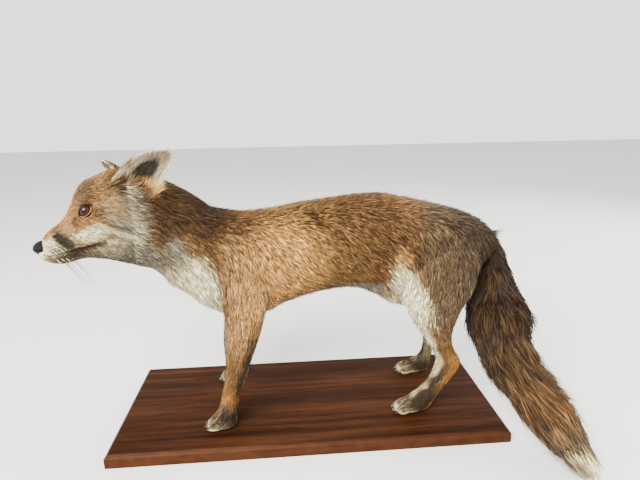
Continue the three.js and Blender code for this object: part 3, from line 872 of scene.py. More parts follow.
def mouth_gap(s, z):
    """Distance from the mouth's line in side view, and how far along it the nearest place is."""
    place = np.stack([s, z], -1)[:, None]
    first, second = MOUTH_LINE[None, :-1], MOUTH_LINE[None, 1:]
    run = second - first
    part = np.clip(dot(place - first, run) / dot(run, run), 0, 1)
    gap = np.linalg.norm(place - first - part[..., None] * run, axis=-1)
    nearest = gap.argmin(1)
    rows = np.arange(len(s))
    return gap[rows, nearest], (nearest + part[rows, nearest]) / (len(MOUTH_LINE) - 1)


def shape_head(mesh):
    points = read_points(mesh)
    normals = read_normals(mesh)
    s, out, z = plan_place(points)
    push = np.zeros(len(points))
    for form_s, form_out, form_z, radius, height in HEAD_FORMS:
        for side in (1, -1):
            gap2 = (s - form_s * MM) ** 2 + (out - side * form_out * MM) ** 2 + (z - form_z * MM) ** 2
            push += height * MM * np.exp(-gap2 / (0.5 * (radius * MM) ** 2))
    gap, place = mouth_gap(s, z)
    lips = np.exp(-((gap / (1.5 * MM)) ** 2)) * smooth_step(1.0, 0.93, place) * (s < MOUTH_REAR)
    push -= 1.6 * MM * lips + 1.9 * MM * smooth_step(-0.327, -0.333, s) * smooth_step(0.276, 0.290, z)
    points += push[:, None] * normals
    for side in (1, -1):
        ring, _, ahead, away = eye_place(points, side)
        sink = np.where((ahead > 0) & (away < 0.03), smooth_step(1.75, 1.1, ring), 0) * EYE_SINK
        points -= sink[:, None] * eye_frame(side)[3]
    write_points(mesh, points)


def toe_place(leg, points):
    """How far behind the toes' tips points lie, and how far beside the nearest fold between two toes."""
    front, y = paw_front(leg)
    middles = y + 0.5 * (TOE_SPREAD[1:] + TOE_SPREAD[:-1])
    return points[:, 0] - front, np.abs(points[:, 1:2] - middles).min(1)


def fold_toes(mesh):
    """Sinks the paws' tops by a bell of the distance from each fold."""
    points = read_points(mesh)
    normals = read_normals(mesh)
    for leg in legs:
        ahead, gap = toe_place(leg, points)
        own = np.linalg.norm(points[:, :2] - paw_front(leg), axis=1) < 0.034
        own &= (points[:, 2] < FINE_PAWS) & (normals[:, 2] > -0.4)
        reach = smooth_step(27 * MM, 12 * MM, ahead)
        points -= (own * TOE_FOLD * reach * np.exp(-((gap / (1.7 * MM)) ** 2)))[:, None] * normals
    write_points(mesh, points)


TOE_FOLD = 2.2 * MM
split_fine(skin.data)
shape_head(skin.data)
fold_toes(skin.data)
print("skin after the head's forms:", len(skin.data.polygons), "faces")

# %% [markdown]
# The ears are thinner than the squares of the remesh, so they're made as fine sheets and united
# with the skin by a boolean, which trims each one to the head. The short coat hides the crease.

# %% Ears on the skin
def unite(piece, other):
    """Joins another closed shape to a piece and drops what lies inside."""
    join = piece.modifiers.new("unite", "BOOLEAN")
    join.operation = "UNION"
    join.solver = "EXACT"
    join.object = other
    applied(piece)
    mesh = other.data
    bpy.data.objects.remove(other)
    bpy.data.meshes.remove(mesh)


for ear in ears:
    unite(skin, make_mesh(ear.name, *ear_shape(ear)))
skin.data.shade_smooth()
print("skin with ears:", len(skin.data.polygons), "faces")

# %% [markdown]
# Everything that grows on the skin must know where on the fox it is: which loft, how far along and
# how far round. Each point asks every loft, and the one whose surface it lies nearest to wins. The
# ears are asked last: a point is theirs when it lies on their sheet and outside the head.

# %% Where on the fox
PART_NAMES = [loft.name for loft in lofts] + [ear.name for ear in ears]
BODY, TAIL, EAR_FIRST = 0, 5, 6
EAR_REACH = 2.6 * MM


class Spots:
    """Points on the skin with their normals, and all that is known of their places."""

    def __init__(self, points, normals):
        self.points = points
        self.normals = normals
        self.s, self.out, self.z = plan_place(points)
        found = [loft.locate(points) for loft in lofts]
        self.q = np.stack([place[3] for place in found])
        self.part = self.q.argmin(0)
        rows = np.arange(len(points))
        self.t, self.up, self.across = (
            np.stack([place[k] for place in found])[self.part, rows] for k in range(3)
        )
        self.inside_ear = np.zeros(len(points), bool)
        for number, ear in enumerate(ears):
            near = np.linalg.norm(points - ear.root - 0.5 * ear.axis, axis=1) < 0.06
            h, c = ear.locate(points[near])
            sheet = ear.surface(h, np.clip(c, -1, 1), np.zeros_like(h))
            gap = np.linalg.norm(sheet - points[near], axis=1)
            outside = self.q[BODY, near]
            keep = ((gap < EAR_REACH) & (outside > 0.97)) | ((gap < 4 * EAR_REACH) & (outside > 1.03))
            own = np.flatnonzero(near)[keep]
            self.part[own] = EAR_FIRST + number
            self.t[own] = h[keep]
            self.across[own] = c[keep]
            self.up[own] = 0
            self.inside_ear[own] = self.normals[own] @ ear.open > 0.1


skin_spots = Spots(read_points(skin.data), read_normals(skin.data))
print({name: int((skin_spots.part == k).sum()) for k, name in enumerate(PART_NAMES)})

# %% [markdown]
# The lie of the coat: hair grows away from the nose, back over the head, down and back over the
# neck, shoulder and flank, down each leg and out along the brush. On the body it is the backbone's
# direction, tipped down by an angle that changes along the fox; on the other parts it is the loft's
# own path. Averaging over the mesh then lets one stream run into the next.

# %% Lie of the coat
# place along the fox in millimetres, and how many degrees the hair of the side points down
SIDE_TIP = [
    (-338, 4), (-300, 8), (-262, 18), (-235, 28), (-205, 36), (-175, 44), (-140, 52), (-100, 60),
    (-60, 56), (-20, 44), (40, 36), (110, 38), (150, 50), (200, 62), (286, 68),
]
LIE_ROUNDS = 26
EAR_SPLAY = 0.15
BLEND = 0.24


def loft_direction(loft, t):
    """The direction of a loft's middle line at row t."""
    step = 0.05
    ahead = loft.frame_at(loft.rows, np.minimum(t + step, loft.last))[0]
    behind = loft.frame_at(loft.rows, np.maximum(t - step, 0))[0]
    return unit(ahead - behind)


def onto_skin(vectors, normals):
    """Directions laid into the surface: less their part along the normal, and one long again."""
    return unit(vectors - normals * dot(vectors, normals)[:, None])


def body_lie(spots):
    """Backwards along the backbone, tipped down on the sides by the table's angle."""
    side = plan_side(spots.s)
    back = np.stack([-side[:, 1], side[:, 0], np.zeros(len(side))], -1)
    table = np.array(SIDE_TIP, float)
    tip = np.radians(np.interp(spots.s / MM, table[:, 0], table[:, 1]))
    flank = np.abs(dot(spots.normals, side)) ** 0.8
    front_of_neck = smooth_step(-0.2, -0.9, spots.normals[:, 2]) * (spots.s < -0.1)
    tip = tip * np.maximum(flank, 0.6 * front_of_neck)
    return back * np.cos(tip)[:, None] - np.array([0, 0, 1.0]) * np.sin(tip)[:, None]


def coat_lie(spots, edges):
    streams = [body_lie(spots)]
    for loft in lofts[1:]:
        streams.append(loft_direction(loft, loft.locate(spots.points)[0]))
    share = np.exp(-((spots.q - spots.q.min(0)) / BLEND) ** 2)
    lie = sum(weight[:, None] * stream for weight, stream in zip(share, streams))
    for number, ear in enumerate(ears):
        own = spots.part == EAR_FIRST + number
        lie[own] = ear.along + EAR_SPLAY * spots.across[own, None] * ear.across
    lie = onto_skin(lie, spots.normals)
    ear_spots = spots.part >= EAR_FIRST
    for _ in range(LIE_ROUNDS):
        smoother = onto_skin(lie + neighbour_mean(lie, edges), spots.normals)
        lie = np.where(ear_spots[:, None], lie, smoother)
    return lie


skin_lie = coat_lie(skin_spots, read_edges(skin.data))
print("mean drop of the lie:", round(float(skin_lie[:, 2].mean()), 3))

# %% [markdown]
# A red fox is not one red. The back is brown and grizzled, the nape dark, the shoulder sandy, the
# chest and groin white, the backs of the ears black, and each lower leg has streaks of its own. The
# ground colour changes along the back, side and belly; soft oval patches lie over it. Skin and hair
# ask the same function, so the two always agree.

# %% Markings
# named tones of the coat, as display red, green and blue
WHITE = (229, 224, 211)
CREAM = (218, 210, 195)
ASH = (200, 190, 179)
DOVE = (164, 153, 144)
TAUPE = (118, 101, 90)
SOOT = (44, 35, 30)
UMBER = (74, 53, 37)
PEAT = (60, 35, 17)
BAY = (80, 51, 28)
CHESTNUT = (114, 78, 46)
RUSSET = (134, 91, 54)
TAWNY = (142, 103, 59)
OCHRE = (161, 122, 76)
FAWN = (186, 153, 113)
SAND = (202, 171, 119)
APRICOT = (197, 158, 110)
GINGER = (178, 132, 86)
HONEY = (196, 154, 92)
PEBBLE = (200, 178, 151)
GRIZZLE = (130, 103, 78)
DUSK = (103, 78, 61)
# (place along the fox in millimetres, tone there): along the back, the side and the belly
BACK = [
    (-338, APRICOT), (-308, APRICOT), (-288, FAWN), (-262, FAWN), (-236, OCHRE), (-212, RUSSET),
    (-188, CHESTNUT),
    (-155, BAY), (-128, BAY), (-95, RUSSET), (-58, TAWNY), (-5, TAWNY), (36, RUSSET), (98, RUSSET),
    (136, OCHRE), (170, GRIZZLE), (205, DUSK), (242, UMBER), (286, BAY),
]
SIDE = [
    (-338, CREAM), (-316, CREAM), (-298, FAWN), (-262, FAWN), (-236, DOVE), (-210, RUSSET),
    (-186, CHESTNUT), (-160, CHESTNUT), (-135, RUSSET), (-110, FAWN), (-60, SAND), (-15, SAND),
    (30, OCHRE), (92, RUSSET), (136, RUSSET), (172, GRIZZLE), (225, DUSK), (262, UMBER), (286, BAY),
]
BELOW = [
    (-338, CREAM), (-314, DOVE), (-286, TAUPE), (-250, DOVE), (-215, DOVE), (-186, ASH),
    (-155, CREAM), (-128, WHITE), (-100, ASH), (-60, DOVE), (0, TAUPE), (60, TAUPE), (100, DOVE),
    (128, CREAM), (170, CREAM), (200, DOVE), (242, DUSK), (286, BAY),
]
# name, s, z, half length, half height, tilt in degrees, tone, amount
PATCHES = [
    ("lip", -323, 290, 15, 9, 5, WHITE, 0.95),
    ("muzzle smudge", -308, 300, 13, 8.5, -50, SOOT, 0.97),
    ("behind the smudge", -297, 300, 11, 6, -30, TAUPE, 0.7),
    ("above the smudge", -305, 311, 9, 5, -50, FAWN, 0.5),
    ("cheek", -277, 311, 20, 9, 22, WHITE, 0.95),
    ("under the eye", -283, 326, 12, 3.6, 36, GINGER, 0.85),
    ("brow", -279, 349, 11, 4.5, 36, RUSSET, 0.8),
    ("tear line", -293, 324, 7, 2.6, 55, CHESTNUT, 0.7),
    ("forehead", -283, 359, 16, 8, 40, GRIZZLE, 0.8),
    ("crown side", -248, 371, 15, 9, 10, RUSSET, 0.5),
    ("before the ear", -241, 361, 5, 7, 0, UMBER, 0.7),
    ("foot of the ear", -232, 357, 6, 9, 10, ASH, 0.55),
    ("temple", -252, 340, 16, 11, 0, PEBBLE, 0.85),
    ("behind the eye", -267, 335, 8, 7, -10, CHESTNUT, 0.65),
    ("rear cheek", -240, 318, 20, 17, -20, ASH, 0.5),
    ("mouth corner", -260, 293, 22, 7, -10, ASH, 0.75),
    ("dark cheek line", -250, 317, 22, 2.6, -24, TAUPE, 0.75),
    ("cheek streak", -248, 308, 24, 4, -30, CREAM, 0.8),
    ("lower cheek streak", -262, 300, 18, 3, -6, CREAM, 0.6),
    ("jaw", -286, 280, 28, 8, 8, DOVE, 0.85),
    ("lower lip", -304, 281, 20, 4.6, 12, UMBER, 0.85),
    ("chin", -318, 275, 13, 5, 0, TAUPE, 0.65),
    ("rear of the jaw", -250, 285, 20, 9, -5, ASH, 0.6),
    ("throat", -224, 272, 28, 15, -28, DOVE, 0.85),
    ("upper neck", -196, 322, 27, 21, -40, BAY, 0.6),
    ("neck front", -158, 232, 44, 27, -62, WHITE, 0.96),
    ("grey neck", -186, 278, 24, 17, -50, DOVE, 0.75),
    ("sandy neck", -166, 289, 18, 12, -45, OCHRE, 0.75),
    ("withers", -146, 316, 26, 20, -45, BAY, 0.65),
    ("sandy shoulder", -38, 264, 40, 41, 0, SAND, 0.8),
    ("lower shoulder", -78, 226, 26, 24, 0, FAWN, 0.6),
    ("first smudge", 8, 307, 13, 4.6, -30, BAY, 0.75),
    ("second smudge", 42, 288, 13, 5, -30, BAY, 0.7),
    ("flank spot", 128, 256, 13, 15, 20, SAND, 0.62),
    ("dark spot", 154, 255, 6.5, 11, 10, UMBER, 0.7),
    ("grey belly edge", 72, 210, 42, 9, 4, DOVE, 0.6),
    ("groin", 142, 206, 42, 21, -60, WHITE, 0.97),
]
# (row of the leg or of the brush, tone there); what runs past the last row keeps its tone
FORELEG_SIDE = [(0, FAWN), (3, FAWN), (5, OCHRE), (6.3, OCHRE), (7.2, HONEY), (8.0, GRIZZLE), (8.8, UMBER)]
HINDLEG_SIDE = [(0, GRIZZLE), (3, GRIZZLE), (5.5, OCHRE), (7, OCHRE), (8.5, DUSK), (10.6, UMBER)]
BRUSH = [(0, PEAT), (4, PEAT), (5.8, BAY), (7.4, CHESTNUT), (9.0, RUSSET), (9.9, GRIZZLE),
         (10.6, DUSK), (11.3, CREAM), (12, WHITE)]
SPLASHES = [(ASH, 0.72), (SOOT, -0.6), (OCHRE, 0.1)]
FOREPAW_START, HINDPAW_START = 8.9, 11.2


# the light that falls on the coat, the palest hair there is, and what each colour is corrected by
LIGHT = 2.6
WHITEST = 0.88
WARMTH = np.array([0.95, 1.03, 0.90])
WAVES, WAVE_HEIGHT = 7, 4.5


def paint(tones):
    """Reflectance that shows as display tones: the film curve undone by 0.22 x^1.25 / (1 - x)^1.24."""
    share = np.asarray(tones, float) / 255
    light = 0.22 * share**1.25 / (1 - share) ** 1.24 / LIGHT * WARMTH
    return light * np.minimum(1, WHITEST / light.max(-1, keepdims=True))


def station_colours(table, place):
    """Colours between the stations of a (place, tone) table."""
    places = [row[0] for row in table]
    light = paint([row[1] for row in table])
    return np.stack([np.interp(place, places, column) for column in light.T], -1)


def blend_to(colours, target, amount):
    return colours + np.asarray(amount)[..., None] * (target - colours)


def lay(colours, *layers):
    """Blends each (tone, amount) over the colours, one after another."""
    for tone, amount in layers:
        colours = blend_to(colours, paint(tone), amount)
    return colours


def band(rise, top, fall, end, value):
    """0, then 1 between top and fall, then 0 again."""
    return smooth_step(rise, top, value) * smooth_step(end, fall, value)


def waver(points, size, seed):
    """Smooth noise between -1 and 1: a sum of sines in random directions, with waves about size long."""
    turns = np.random.default_rng(seed)
    total = np.zeros(len(points))
    for _ in range(WAVES):
        wave = unit(turns.normal(size=3)) * 2 * np.pi / (size * turns.uniform(0.7, 1.5))
        total += np.sin(points @ wave + turns.uniform(0, 2 * np.pi))
    return total / WAVE_HEIGHT


def body_colours(spots, wobble):
    s = spots.s / MM + 5 * wobble
    side = station_colours(SIDE, s)
    colours = blend_to(side, station_colours(BACK, s), smooth_step(0.30, 0.88, spots.up + 0.08 * wobble))
    return blend_to(colours, station_colours(BELOW, s), smooth_step(-0.52, -0.86, spots.up + 0.08 * wobble))


def add_patches(spots, colours, wobble, fine, reach):
    """Each patch is an oval in side view, full inside and fading raggedly over its outer third."""
    s = spots.s / MM + 2.2 * wobble
    z = spots.z / MM - 2.0 * wobble
    for _, middle_s, middle_z, length, height, tilt, tone, amount in PATCHES:
        angle = np.radians(tilt)
        away_s, away_z = s - middle_s, z - middle_z
        along = (away_s * np.cos(angle) + away_z * np.sin(angle)) / length
        across = (away_z * np.cos(angle) - away_s * np.sin(angle)) / height
        ring = np.hypot(along, across) + 0.22 * fine
        colours = lay(colours, (tone, amount * reach * smooth_step(1.3, 0.7, ring)))
    return colours


def leg_colours(spots, leg_number, own, wobble, fine):
    """Down the leg by its table; then the streaks of its front, rear and inner side, and the paw's."""
    t, up, across = spots.t[own], spots.up[own] + 0.12 * wobble[own], spots.across[own]
    if leg_number < 3:
        colours = lay(
            station_colours(FORELEG_SIDE, t),
            (HONEY, 0.7 * smooth_step(0.45, 0.85, up) * band(4, 6, 8, 9.6, t)),
            (UMBER, 0.85 * smooth_step(-0.10, -0.5, up) * band(1.4, 2.4, 6.5, 8, t)),
            (ASH, 0.8 * smooth_step(-0.78, -0.95, up) * smooth_step(2.0, 3.0, t)),
            (CREAM, 0.6 * smooth_step(0.2, 0.8, -across) * smooth_step(8, 5, t)),
        )
    else:
        edge = 0.50 + 0.30 * smooth_step(6.2, 8.8, t)
        strip = smooth_step(edge, edge + 0.24, up + 0.2 * np.abs(across))
        colours = lay(
            station_colours(HINDLEG_SIDE, t),
            (HONEY, 0.9 * smooth_step(0.35, -0.35, up) * band(5.2, 6.4, 8.4, 10, t)),
            (SAND, 0.8 * smooth_step(-0.45, -0.75, up) * band(8.4, 9.4, 11, 12, t)),
            (WHITE, 0.9 * strip * band(2.5, 4, 10.2, 11.4, t)),
            (CREAM, 0.75 * smooth_step(0.1, 0.7, -across) * smooth_step(11, 7, t)),
        )
    return paw_colours(colours, t, spots.points[own], fine[own], leg_number)


def paw_colours(colours, t, points, fine, leg_number):
    """Splashes of pale, dark and sandy hair; pale tufts between the toes and low round their tips."""
    first = FOREPAW_START if leg_number < 3 else HINDPAW_START
    paw = smooth_step(first, first + 1.2, t)
    for tone, middle in SPLASHES:
        near = smooth_step(0.42, 0.2, np.abs(fine - middle))
        colours = lay(colours, (tone, 0.75 * paw * near))
    ahead, gap = toe_place(legs[leg_number - 1], points)
    fold = np.exp(-((gap / (1.5 * MM)) ** 2)) * smooth_step(-0.6, 0.3, fine)
    fold = fold * band(1.5 * MM, 6 * MM, 14 * MM, 26 * MM, ahead)
    tip = smooth_step(5.5 * MM, 1.5 * MM, ahead + 2 * MM * fine)
    low = smooth_step(SOLE + 7.5 * MM, SOLE + 3.5 * MM, points[:, 2] + 1.5 * MM * fine)
    return lay(colours, (CREAM, 0.6 * fold), (WHITE, 0.85 * paw * np.maximum(tip, low)))


def tail_colours(spots, own, wobble):
    """Rust down the middle, darker along both edges, then dark ends and a white tip. The edges are
    partly the brush's own darker hair and partly painted shade, deepest on the edge towards the legs,
    where painted shade runs on into the tip.
    """
    t = spots.t[own] + 0.35 * wobble[own]
    edge = spots.across[own] + 0.15 * wobble[own]
    # painted shade along both edges, deepest on the side towards the legs, over the edges' own darker hair
    shade = smooth_step(0.45, 1.0, np.where(edge < 0, -1.15 * edge, edge)) * smooth_step(11.8, 10, t)
    # painted shade on the legs' side of the tip, carrying on where the edge shade fades
    shaded_tip_edge = smooth_step(0.1, -0.5, edge) * band(10.4, 11.2, 12.4, 13.2, t)
    return lay(station_colours(BRUSH, t), (SOOT, 0.75 * shade), (DUSK, 0.75 * shaded_tip_edge))


def ear_colours(spots, own, wobble, fine):
    """Black-brown behind, tan at the foot; inside, streaks and pale rims round a dark hollow, which is
    painted shade deep in the cup.
    """
    h, c, fine = spots.t[own], spots.across[own], fine[own]
    rim = np.abs(c)
    # the hollow middle of the cup; the near-black laid here is painted shade
    hollow = np.hypot((h - 0.44) / 0.30, c / 0.46) + 0.1 * wobble[own]
    streak = smooth_step(0.25, 0.9, waver(np.stack([c, 0.18 * h, 0 * h], -1) * 30 * MM, 4 * MM, 13))
    behind = lay(
        paint(SOOT), (OCHRE, smooth_step(0.30, 0.08, h)), (SAND, 0.8 * smooth_step(0.88, 0.99, rim))
    )
    inside = lay(
        paint(ASH),
        (CREAM, 0.8 * smooth_step(0.7, 0.95, rim)),
        (TAUPE, 0.75 * streak * smooth_step(0.1, 0.5, h + 0.2 * fine)),
        (OCHRE, 0.45 * smooth_step(0.1, 0.7, fine) * smooth_step(0.5, 0.8, h)),
        (GRIZZLE, 0.6 * smooth_step(0.55, 0.75, h) * smooth_step(0.7, 0.4, rim)),
        (SOOT, 0.97 * smooth_step(1.25, 0.75, hollow)),
        (CREAM, 0.8 * smooth_step(0.84, 0.97, rim)),
        (SAND, 0.85 * smooth_step(0.32, 0.12, h)),
    )
    return np.where(spots.inside_ear[own, None], inside, behind)


def markings(spots, ruffle=0.0):
    """The coat's colour at each spot; ruffle mixes neighbours' hairs, as the edges of markings do."""
    wobble = waver(spots.points, 22 * MM, 11)
    mix = np.random.default_rng(5).normal(0, ruffle, len(spots.points))
    fine = waver(spots.points, 6 * MM, 12) + mix
    wobble = wobble + 0.5 * mix
    colours = body_colours(spots, wobble)
    for number in range(1, 5):
        own = spots.part == number
        upper = smooth_step(3.6, 1.4, spots.t[own])
        leg = leg_colours(spots, number, own, wobble, fine)
        colours[own] = blend_to(leg, colours[own], upper)
    own = spots.part == TAIL
    colours[own] = tail_colours(spots, own, wobble)
    trunk = (spots.part <= 4).astype(float)
    low_leg = np.where((spots.part > 0) & (spots.part < 5), smooth_step(6.5, 4.5, spots.t), 1)
    colours = add_patches(spots, colours, wobble, fine, trunk * low_leg)
    gap, place = mouth_gap(spots.s, spots.z)
    front = (spots.part == BODY) & (spots.s < MOUTH_REAR)
    lip = smooth_step(4.6 * MM, 2.0 * MM, gap + 0.6 * MM * fine) * smooth_step(0.2, 0.45, place)
    colours = lay(colours, (SOOT, 0.9 * lip * front))
    for side in (1, -1):
        ring, height, ahead, away = eye_place(spots.points, side)
        lid = smooth_step(1.75, 1.3, ring) * (ahead > 0) * (away < 0.025)
        above = smooth_step(-1.0 * MM, 1.5 * MM, height)
        colours = lay(colours, (UMBER, (0.3 + 0.5 * above) * lid))
    own = spots.part >= EAR_FIRST
    colours[own] = ear_colours(spots, own, wobble, fine)
    return colours


skin_colours = markings(skin_spots)
print("mean colour of the coat:", skin_colours.mean(0).round(3))

# %% [markdown]
# The coat is real mesh: each tuft is a thin closed spike of a few triangles, because particle hair
# doesn't survive an export. A tuft follows the skin by a second-order path, so the skin's own bend
# along the lie has to be known first. It is how fast the lie turns for each metre along itself, and
# comes from the differences over the mesh's edges, squared up by least squares.

# %% Bend of the lie
MAX_BEND = 45.0


def lie_bend(points, lie, edges):
    """At each vertex, the sum over its edges of (change of lie)(run along the lie) / the runs squared."""
    first, second = edges[:, 0], edges[:, 1]
    run = points[second] - points[first]
    change = lie[second] - lie[first]
    total = np.zeros_like(points)
    weight = np.full(len(points), 1e-9)
    for own in (first, second):
        ahead = dot(run, lie[own])
        for k in range(3):
            total[:, k] += np.bincount(own, ahead * change[:, k], len(points))
        weight += np.bincount(own, ahead**2, len(points))
    bend = total / weight[:, None]
    for _ in range(4):
        bend = 0.5 * (bend + neighbour_mean(bend, edges))
    size = np.linalg.norm(bend, axis=1)
    return bend * np.minimum(1, MAX_BEND / np.maximum(size, 1e-9))[:, None]


skin_bend = lie_bend(skin_spots.points, skin_lie, read_edges(skin.data))
print("median radius along the lie:", round(float(1000 / np.median(np.linalg.norm(skin_bend, axis=1)))), "mm")

# %% [markdown]
# The coat's plan, from nose to brush: how far apart the tufts grow, how long and how wide they are.
# The face and feet have the smallest, the brush the longest. Whatever the plan says at a place, the
# tips end at the height of the coat there, which the lofts know.

# %% Plan of the coat
# place along the fox (body), row (legs, tail) or share of the height (ears);
# then spacing, length and width of a tuft in millimetres
BODY_PLAN = [
    (-338, 0.72, 2.6, 0.42), (-312, 0.74, 3.6, 0.46), (-296, 0.80, 5.0, 0.55), (-276, 0.88, 6.6, 0.62),
    (-258, 1.00, 8.5, 0.70), (-236, 1.22, 11.0, 0.8), (-205, 1.42, 14.5, 0.88), (-150, 1.60, 17.0, 0.95),
    (-90, 1.65, 15.5, 1.0), (0, 1.65, 14.5, 1.0), (110, 1.68, 14.5, 1.0), (200, 1.75, 16.0, 1.05),
    (290, 1.85, 20.0, 1.1),
]
FORELEG_PLAN = [(0, 1.7, 16, 0.95), (2, 1.6, 12.5, 0.85), (4, 1.3, 8.5, 0.65), (7, 1.15, 7, 0.55),
                (10, 1.05, 6, 0.5), (12, 1.0, 5, 0.48)]
HINDLEG_PLAN = [(0, 1.75, 17, 1.0), (2, 1.68, 14.5, 0.9), (4, 1.45, 11, 0.75), (6, 1.25, 8.5, 0.6),
                (10, 1.12, 6.5, 0.55), (14, 1.0, 5, 0.48)]
TAIL_PLAN = [(0, 2.1, 24, 1.5), (2, 2.2, 32, 1.7), (5, 2.3, 40, 1.9), (10.5, 2.3, 38, 1.9),
             (12.5, 2.1, 26, 1.7), (14, 2.0, 18, 1.5)]
EAR_PLAN = [(0, 1.0, 8, 0.5), (0.35, 0.95, 5, 0.42), (0.6, 0.9, 3.6, 0.36), (1, 0.85, 2.8, 0.32)]
EAR_INSIDE_LENGTH = 1.6


def coat_plan(spots):
    """Spacing, length and width of the tufts at each spot, in metres."""
    body = np.array(BODY_PLAN, float)
    plan = np.stack([np.interp(spots.s / MM, body[:, 0], column) for column in body.T[1:]])
    for numbers, rows in (((1, 2), FORELEG_PLAN), ((3, 4), HINDLEG_PLAN), ((TAIL,), TAIL_PLAN),
                          ((EAR_FIRST, EAR_FIRST + 1), EAR_PLAN)):
        own = np.isin(spots.part, numbers)
        table = np.array(rows, float)
        plan[:, own] = [np.interp(spots.t[own], table[:, 0], column) for column in table.T[1:]]
    plan[1, spots.inside_ear] *= EAR_INSIDE_LENGTH
    belly = (spots.part == BODY) * smooth_step(-0.5, -0.95, spots.up) * smooth_step(-0.08, 0, spots.s)
    plan[1] *= 1 - 0.3 * belly
    return plan * MM


def coat_depth(spots):
    """How far the coat's tips stand from the skin, from the loft that the spot lies on."""
    depth = np.full(len(spots.points), 1.6 * MM)
    for number, loft in enumerate(lofts):
        own = spots.part == number
        depth[own] = loft.depth(spots.t[own])
    ear = spots.part >= EAR_FIRST
    depth[ear] = np.interp(spots.t[ear], [0, 0.3, 1], [4.0, 2.0, 1.1]) * MM
    return depth


skin_plan = coat_plan(skin_spots)
lengths = skin_plan[1] / MM
print("tuft lengths on the skin:", lengths.min().round(1), "to", lengths.max().round(1))

# %% [markdown]
# Roots are spread evenly over the skin's triangles. Each triangle has a share of the roots, its area
# over the square of the spacing, and equal steps through the running sum of the shares pick the
# triangles, so no place is bald or crowded. Some places grow none: the eyes between their lids, the
# nose pad and the soles.

# %% Roots
NOSE_REAR = -0.3302
COAT_SEED = 20


def grows(spots):
    """False where the skin is bare."""
    keep = spots.s > NOSE_REAR - 4 * MM * smooth_step(-0.3, 0.6, -spots.normals[:, 2])
    for side in (1, -1):
        ring, _, ahead, away = eye_place(spots.points, side)
        keep &= ~((ring < 1.35) & (ahead > -0.004) & (away < 0.02))
    sole = (spots.part > 0) & (spots.part < 5) & (spots.z < SOLE + 2.5 * MM) & (spots.normals[:, 2] < -0.3)
    return keep & ~sole


skin.data.calc_loop_triangles()
triangles = read_array(skin.data.loop_triangles, "vertices", 3, np.int32)


def scatter_roots():
    """Triangle and the three weights of every root."""
    draw = np.random.default_rng(COAT_SEED)
    corners = skin_spots.points[triangles]
    sides = corners[:, 1:] - corners[:, :1]
    area = 0.5 * np.linalg.norm(np.cross(sides[:, 0], sides[:, 1]), axis=1)
    spacing = skin_plan[0][triangles].mean(1)
    share = area / spacing**2
    total = np.cumsum(share)
    count = int(total[-1])
    steps = (np.arange(count) + draw.random(count)) * total[-1] / count
    picked = np.searchsorted(total, steps)
    first, second = draw.random((2, count))
    fold = first + second > 1
    first, second = np.where(fold, 1 - first, first), np.where(fold, 1 - second, second)
    return picked, np.stack([1 - first - second, first, second], -1)


picked, weights = scatter_roots()


def at_roots(values):
    """A value of the skin's vertices carried to the roots."""
    return (values[triangles[picked]] * weights.reshape(len(picked), 3, *[1] * (values.ndim - 1))).sum(1)


roots = Spots(at_roots(skin_spots.points), unit(at_roots(skin_spots.normals)))
growing = grows(roots)
print("roots:", len(picked), "growing:", int(growing.sum()))

# %% [markdown]
# Hair hangs together in locks. A lock's middle is the nearest of a cloud of points, one set loosely
# in each small cube of space, so locks have uneven, natural outlines. The tips of a lock lean to
# their common middle, and the lock has its own tone and its own small turn of the lie.

# %% Locks
LOCK_SIZES = [(0, 1.5), (6, 1.8), (12, 2.1), (18, 2.4), (24, 3.0), (42, 5.6)]
LOCK_PULL = 0.5


def lock_numbers(points, size, seed):
    """Number of the nearest jittered point of a grid of cubes, by asking the 27 cubes around."""
    cell = np.floor(points / size).astype(np.int64)
    best = np.full(len(points), np.inf)
    number = np.zeros(len(points), np.int64)
    for step in np.ndindex(3, 3, 3):
        cube = cell + np.array(step) - 1
        key = (cube[:, 0] * 73856093) ^ (cube[:, 1] * 19349663) ^ (cube[:, 2] * 83492791) ^ seed
        key = key & 0xFFFFFFF
        loose = np.stack([np.modf(np.sin(key * factor) * 43758.5453)[0] % 1 for factor in
                          (0.0129898, 0.0078233, 0.0037719)], -1)
        gap2 = (((cube + loose) * size - points) ** 2).sum(1)
        nearer = gap2 < best
        best[nearer] = gap2[nearer]
        number[nearer] = key[nearer]
    return np.unique(number, return_inverse=True)[1]


def lock_mean(values, locks, count):
    size = np.maximum(np.bincount(locks, minlength=count), 1)
    return np.stack([np.bincount(locks, column, count) for column in values.T], -1) / size[:, None]


# %% [markdown]
# A tuft's path leaves the root along the lie, bends with the skin and rises to the coat's height,
# steeply at first and level at its tip. Round it goes a flat three-sided section: two edges lie on
# the coat and one ridge looks out, which catches the light as a lock of hair does.

# %% Tufts
RIDGE = 0.42
KINDS = {"spike": (0.0,), "tuft": (0.0, 0.42), "lock": (0.0, 0.3, 0.65)}


def section_faces(rings):
    """Faces of one tuft: the root's triangle, two triangles a side between rings, three to the tip."""
    faces = [(0, 2, 1)]
    for ring in range(rings - 1):
        for k in range(3):
            a, b = 3 * ring + k, 3 * ring + (k + 1) % 3
            faces += [(a, b, b + 3), (a, b + 3, a + 3)]
    last = 3 * (rings - 1)
    faces += [(last + k, last + (k + 1) % 3, last + 3) for k in range(3)]
    return np.array(faces)


